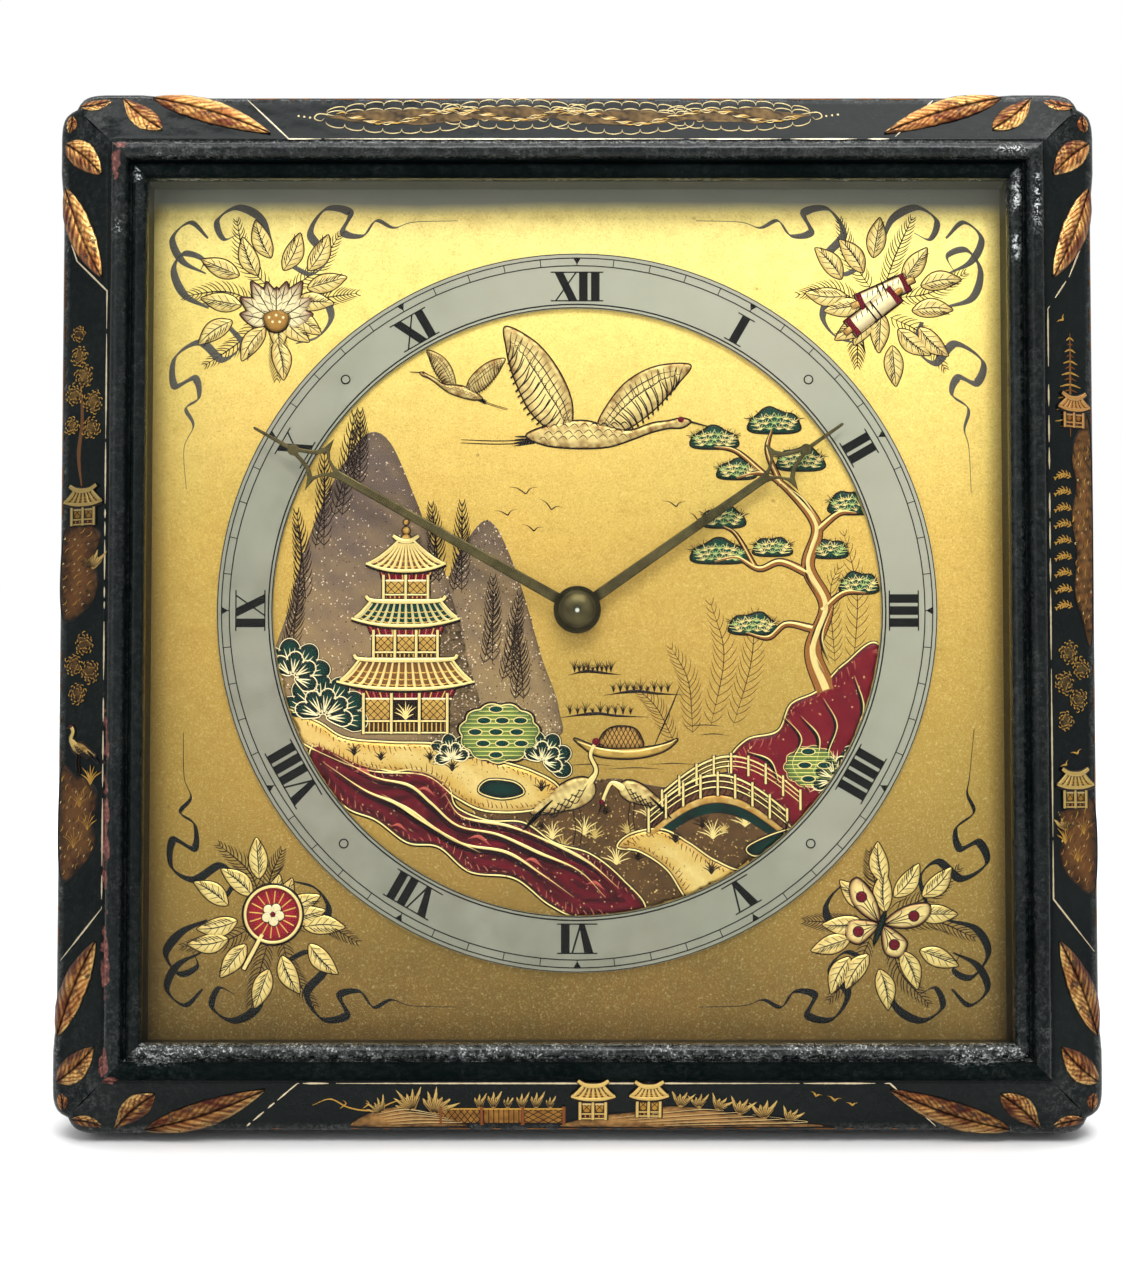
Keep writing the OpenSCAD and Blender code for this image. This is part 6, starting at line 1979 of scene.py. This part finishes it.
def bottom_rail_art():
    art = Art(on_band_level, dim=(0.7, 0.62, 0.48))
    worn_line(art, [(-73, -114.2), (-61, -103.95), (68, -103.95), (79, -114.2)], 0.42, 7)
    worn_line(art, [(-72, -114.5), (76, -114.5)], 0.24, 9, -0.1, GOLD_LO)
    art.stroke([(-58, -109), (-54, -107.6), (-50, -109.6), (-45, -110.2), (-40, -108.2), (-37, -107.8)], 0.34,
               GOLD, 0.1, metal=0.7)
    for x in (-52, -47):
        art.stroke([(x, -109.8), (x + 1.4, -108.6), (x + 0.8, -107.9)], 0.28, GOLD, 0.1, metal=0.7)
    bank(art, [(-50, -113.6), (-45, -110.6), (-39, -109.4), (-33, -110.6), (-28, -112.4), (-24, -113.8),
               (-32, -114.1), (-40, -114.2), (-47, -114.1)], 1)
    palm(art, (-36, -110.2), 6.2, 118, 6, 56)
    palm(art, (-31.4, -111), 6.6, 74, 6, 60)
    palm(art, (-42.6, -110.8), 4.6, 128, 5, 50)
    for k in range(6):
        palm(art, (-21.5 + 3.1 * k, -109.8), 4.2 + 0.8 * math.sin(k * 2.2), 88 + 9 * math.sin(k * 3.1), 3, 34)
    fence(art, -30, -3, -113.2, 3.2)
    bank(art, [(-4, -113.9), (4, -111.6), (12, -110.6), (20, -109.2), (28, -109.8), (38, -111.6), (48, -113),
               (56, -114), (40, -114.2), (22, -114.3), (8, -114.2)], 3)
    little_house(art, 3.4, -112.2, 3.6)
    little_house(art, 15.6, -111.6, 3.2, False)
    for k, (x, z, reach) in enumerate(((22.5, -109.4, 4.6), (26.6, -109.6, 4.0), (30.6, -110.2, 4.4),
                                       (35.4, -111.2, 5.0), (41, -112.2, 5.4), (46.4, -113, 4.4))):
        palm(art, (x, z), reach, 80 + 16 * math.sin(k * 2.0), 4, 50)
    small_birds(art, [(56, -107.6, 1.5, 0), (60, -108.8, 1.2, 10), (52, -106.6, 1.2, -8)], GOLD)
    art.build("painting_bottom", "rail_paint", "lacquer")


def left_rail_art():
    art = Art(on_band_upright, dim=(0.44, 0.4, 0.32))
    worn_line(art, [(-114.2, 85), (-111.5, 77.5), (-104.0, 70), (-104.0, -66), (-114.2, -78)], 0.42, 12, 0.5)
    worn_line(art, [(-114.5, 79), (-114.5, -75)], 0.3, 14, 0.1, GOLD_LO)
    for x, z, size, seed in ((-110.6, 56, 4.4, 0), (-109.4, 51.6, 5, 1), (-111.8, 47.5, 4.6, 2),
                             (-107.2, 45.6, 5.2, 3), (-107.6, 39.8, 4.8, 4), (-112.4, 40.6, 3.8, 6)):
        clump(art, (x, z), size, rgb(190, 158, 92), seed)
    art.stroke([(-110.4, 52), (-109.8, 42), (-110.6, 34), (-109.8, 27)], (0.6, 0.9, 1.1), rgb(120, 82, 50),
               0.14)
    little_house(art, -109.4, 18.4, 3.5, fade=0.6)
    crag(art, [(-114.2, 16), (-111, 18.2), (-107, 18.0), (-105, 15.5), (-106.5, 11), (-105.6, 5), (-108, 0),
               (-114.2, -2)], 1, 40)
    palm(art, (-107, 8.5), 5.4, 100, 5)
    for x, z, size, seed in ((-108.8, -8, 4.8, 2), (-111.4, -12.6, 4.6, 3), (-107.4, -14.2, 5, 5),
                             (-110.4, -19, 4.6, 7)):
        clump(art, (x, z), size, rgb(150, 118, 74), seed)
    standing_crane(art, (-109.6, -36.5), 10.5, True)
    crag(art, [(-114.2, -36), (-111, -36.8), (-107, -38.4), (-105.2, -42), (-106.4, -47), (-105.6, -52),
               (-109, -57), (-114.2, -59)], 4)
    for x, z in ((-107, -39), (-109.6, -44), (-107.6, -49), (-111, -53)):
        tuft(art, (x, z), 4.4, GOLD, 7, 60, 0.12, 0.28, 0.6, x + z, 0.14)
    clump(art, (-110.8, 61), 3.4, rgb(120, 92, 60), 8)
    art.build("painting_left", "rail_paint", "lacquer")


def right_rail_art():
    art = Art(on_band_upright, dim=(0.54, 0.48, 0.36))
    worn_line(art, [(114.2, 85), (109.5, 74), (104.0, 66), (104.0, -64), (114.2, -76)], 0.42, 21, 0.5)
    worn_line(art, [(114.5, 85), (114.5, -73)], 0.3, 23, 0.1, GOLD_LO)
    for k in range(8):
        z = 60 - 2.6 * k
        half = 0.9 + 0.42 * k
        art.stroke([(109.4 - half, z - 0.6), (109.4, z), (109.4 + half, z - 0.6)], 0.42, GOLD, 0.12, metal=0.6)
        art.stroke([(109.4 - half * 0.7, z - 1.7), (109.4, z - 1.2), (109.4 + half * 0.7, z - 1.7)], 0.34,
                   GOLD_LO, 0.12, metal=0.6)
    art.stroke([(109.4, 61), (109.3, 38)], 0.5, rgb(150, 104, 60), 0.14)
    crag(art, [(114.2, 40), (111, 38.6), (109.6, 33), (110.6, 27), (109.4, 20), (110.6, 12), (110, 4),
               (111.6, -2), (114.2, -6)], 3, 80, rgb(176, 132, 84))
    little_house(art, 110.2, 40.2, 2.9, fade=np.array([0.8, 0.6, 0.6]))
    for k in range(9):
        fern(art, [(109.4, 29 - 3.6 * k), (107.4, 29.6 - 3.6 * k), (105.2, 28.4 - 3.6 * k)], 1.2, 6, GOLD, 0.28,
             54, metal=0.6)
    for x, z, size, seed in ((108.4, -10, 5, 1), (111.4, -13.4, 4.6, 2), (107.2, -16.6, 5, 3),
                             (110.6, -20.4, 4.8, 5), (107.4, -25, 4, 6)):
        clump(art, (x, z), size, rgb(150, 136, 92), seed)
    little_house(art, 109.6, -44, 3.4, fade=0.75)
    crag(art, [(114.2, -43), (109, -44), (105.4, -45.6), (106.6, -50), (105.6, -55), (108.6, -60),
               (114.2, -62)], 6)
    palm(art, (107.4, -49), 4.8, 90, 5)
    for x, z in ((107, -52), (110, -56), (111.6, -50)):
        tuft(art, (x, z), 4.0, GOLD, 7, 60, 0.12, 0.28, 0.6, x + z, 0.14)
    small_birds(art, [(107.4, 64, 1.3, 60), (110, -32, 1.3, 30), (107.2, -34.6, 1.1, 50)], GOLD)
    art.build("painting_right", "rail_paint", "lacquer")


top_rail_art()
bottom_rail_art()
left_rail_art()
right_rail_art()


# ---- the back: slotted screws and the regulator's scale ----

def slotted(places, r, y0, y1, slot):
    """Screw heads as two rounded halves over the floor of a slot; places are (x, z, turn)."""
    parts = []
    for x, z, turned in places:
        lean = math.degrees(math.asin(slot / 2 / r))
        for half in (0, 180):
            outline = circle(r, (0, 0), 22, lean + half, 180 - lean + half)
            parts.append(plate_mesh([moved(outline, (x, z), 1.0, turned)], y0, y1, 0.14))
        parts.append(plate_mesh([circle(r * 0.97, (x, z), 28)], y0 - 0.3, y0 + (y1 - y0) * 0.35, 0.02))
    return join(parts)


def screw_set(node, material, places, r, y0, y1, slot):
    verts, faces = slotted(places, r, y0, y1, slot)
    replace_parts(sharpened(add_mesh("slotted_" + node, verts, faces, material, "clock", material), 35), node)


def around(r, degrees):
    """Places of screws on a circle, each with its slot turned another way."""
    return [(*(r * unit(math.radians(a))), 37 * k + 12) for k, a in enumerate(degrees)]


BOARD_SCREWS = [(sx * a, sz * b) for a, b in ((59.8, 103.875), (103.875, 59.8))
                for sx in (-1, 1) for sz in (-1, 1)]
BOARD_SCREWS = [(x, z, 31 * k) for k, (x, z) in enumerate(BOARD_SCREWS)]
screw_set("board_screws", "screws", BOARD_SCREWS, 2.6, 3.2, 4.0, 0.75)
screw_set("flange_screws", "screws", around(32.9, (45, 135, 225, 315)), 1.2, 5.2, 5.9, 0.4)
screw_set("cover_screws", "screws", around(28.1, (30, 150, 270)), 1.5, COVER_Y, 26.0, 0.45)
screw_set("bracket_screws", "screws", [(sx * 56.4, z, 25 * sx + z) for sx in (-1, 1) for z in (40, 50)], 1.7,
          5.2, 6.1, 0.5)


def cover_marks():
    """Turned rings, and a scale of fine strokes beside the regulator's slot."""
    art = Art(on_cover, flip=(-1, 1))
    for r in (26.2, 25.7, 17.2):
        art.stroke(circle(r, n=120), 0.16, rgb(84, 62, 30), 0.02, closed=True, raw=True)
    for k in range(-6, 7):
        way = unit(math.radians(90 + 3.4 * k))
        far = 11.6 if k % 3 else 12.4
        art.stroke([(0, 14) + way * 10.3, (0, 14) + way * far], 0.18, INK_AND_SHADE, 0.02, ends=(1, 1))
    t = np.radians(np.linspace(67, 113, 20))
    art.stroke(np.stack([10.2 * np.cos(t), 14 + 10.2 * np.sin(t)], -1), 0.16, INK_AND_SHADE, 0.02, raw=True, ends=(1, 1))
    for side in (-1, 1):
        art.stroke([(side * 6.4, 24.4), (side * 7.6, 24.0)], 0.22, INK_AND_SHADE, 0.02, ends=(1, 1))
    art.stroke([(-7, 23.6), (-7, 24.8)], 0.22, INK_AND_SHADE, 0.02, ends=(1, 1))
    art.build("cover_marks", "ink", "brass")


cover_marks()


# ---- floor, light and camera ----

def stage_plane():
    """A pale floor that curves up into a backdrop, and is plain white to the eye far from the clock."""
    rows = [(-3.0, 0.0), (1.6, 0.0)] + [(1.6 + 0.9 * math.sin(t), 0.9 - 0.9 * math.cos(t))
                                         for t in np.linspace(0.1, math.pi / 2, 16)] + [(2.5, 4.0)]
    verts = [(x, y, z) for y, z in rows for x in (-5.0, 5.0)]
    mesh = bpy.data.meshes.new("floor")
    mesh.from_pydata(verts, [], [(2 * i, 2 * i + 1, 2 * i + 3, 2 * i + 2) for i in range(len(rows) - 1)])
    mesh.polygons.foreach_set("use_smooth", [True] * len(mesh.polygons))
    m = Mat("floor", Roughness=0.8)
    pale = m.mix(m.span(m.noise(9), 0.3, 0.7), rgb(246, 246, 245), rgb(250, 250, 249))
    mesh.materials.append(m.set(Base_Color=pale))
    far = m.span(m.vector("LENGTH", m.coord, out=1), 0.5, 0.9)
    blend = m.blend_shaders(m.times(m.seen(), far), m.bsdf.outputs[0], m.node("Emission"))
    m.put(m.out.inputs["Surface"], blend)
    placed("floor", mesh)


def aim(ob, at, target):
    """Sets a lamp or camera at a place and turns it to its target."""
    ob.location = at
    ob.rotation_euler = (Vector(target) - Vector(at)).to_track_quat("-Z", "Y").to_euler()


def lamp(name, at, size, power, target=(0, 0, 0.11)):
    light = bpy.data.lights.new(name, "AREA")
    light.shape, light.size, light.size_y, light.energy = "RECTANGLE", size[0], size[1], power
    aim(placed(name, light), at, target)


def world_light():
    """White where it is seen or mirrored, and a soft grey fill for all other light."""
    world = bpy.data.worlds.new("studio")
    bpy.context.scene.world = world
    world.use_nodes = True
    world.node_tree.nodes.clear()
    m = Nodes(world.node_tree)
    fill = m.node("Background", {"Color": (0.97, 0.985, 1.0), "Strength": 0.5})
    white = m.node("Background", {"Color": (1.0, 1.0, 1.0), "Strength": 1.0})
    m.put(m.new("OutputWorld").inputs["Surface"], m.blend_shaders(m.seen(), fill, white))


def make_camera():
    """Nearly square to the dial, three degrees below its normal."""
    centre = Vector((-0.00362, -0.013, 0.10789))
    rise = math.radians(9)
    distance, frame_width = 0.6, 0.25122  # metres
    data = bpy.data.cameras.new("camera")
    data.sensor_fit, data.sensor_width = "HORIZONTAL", 36
    data.lens = 36 * distance / frame_width
    data.clip_start, data.clip_end = 0.01, 50
    ob = placed("camera", data)
    aim(ob, centre + distance * Vector((0, -math.cos(rise), math.sin(rise))), centre)
    bpy.context.scene.camera = ob


stage_plane()
lamp("key", (0.1, -0.85, 1.15), (0.5, 0.4), 8.5)
lamp("top", (0.1, -0.3, 1.25), (1.1, 0.7), 8, (0, 0, 0.2))
lamp("fill", (-0.9, -0.9, 0.7), (0.9, 0.9), 3)
lamp("backdrop", (0, 0.7, 2.4), (4.0, 0.5), 70, (0, 2.5, 1.0))
world_light()
make_camera()
bpy.context.scene.view_settings.view_transform = "Standard"
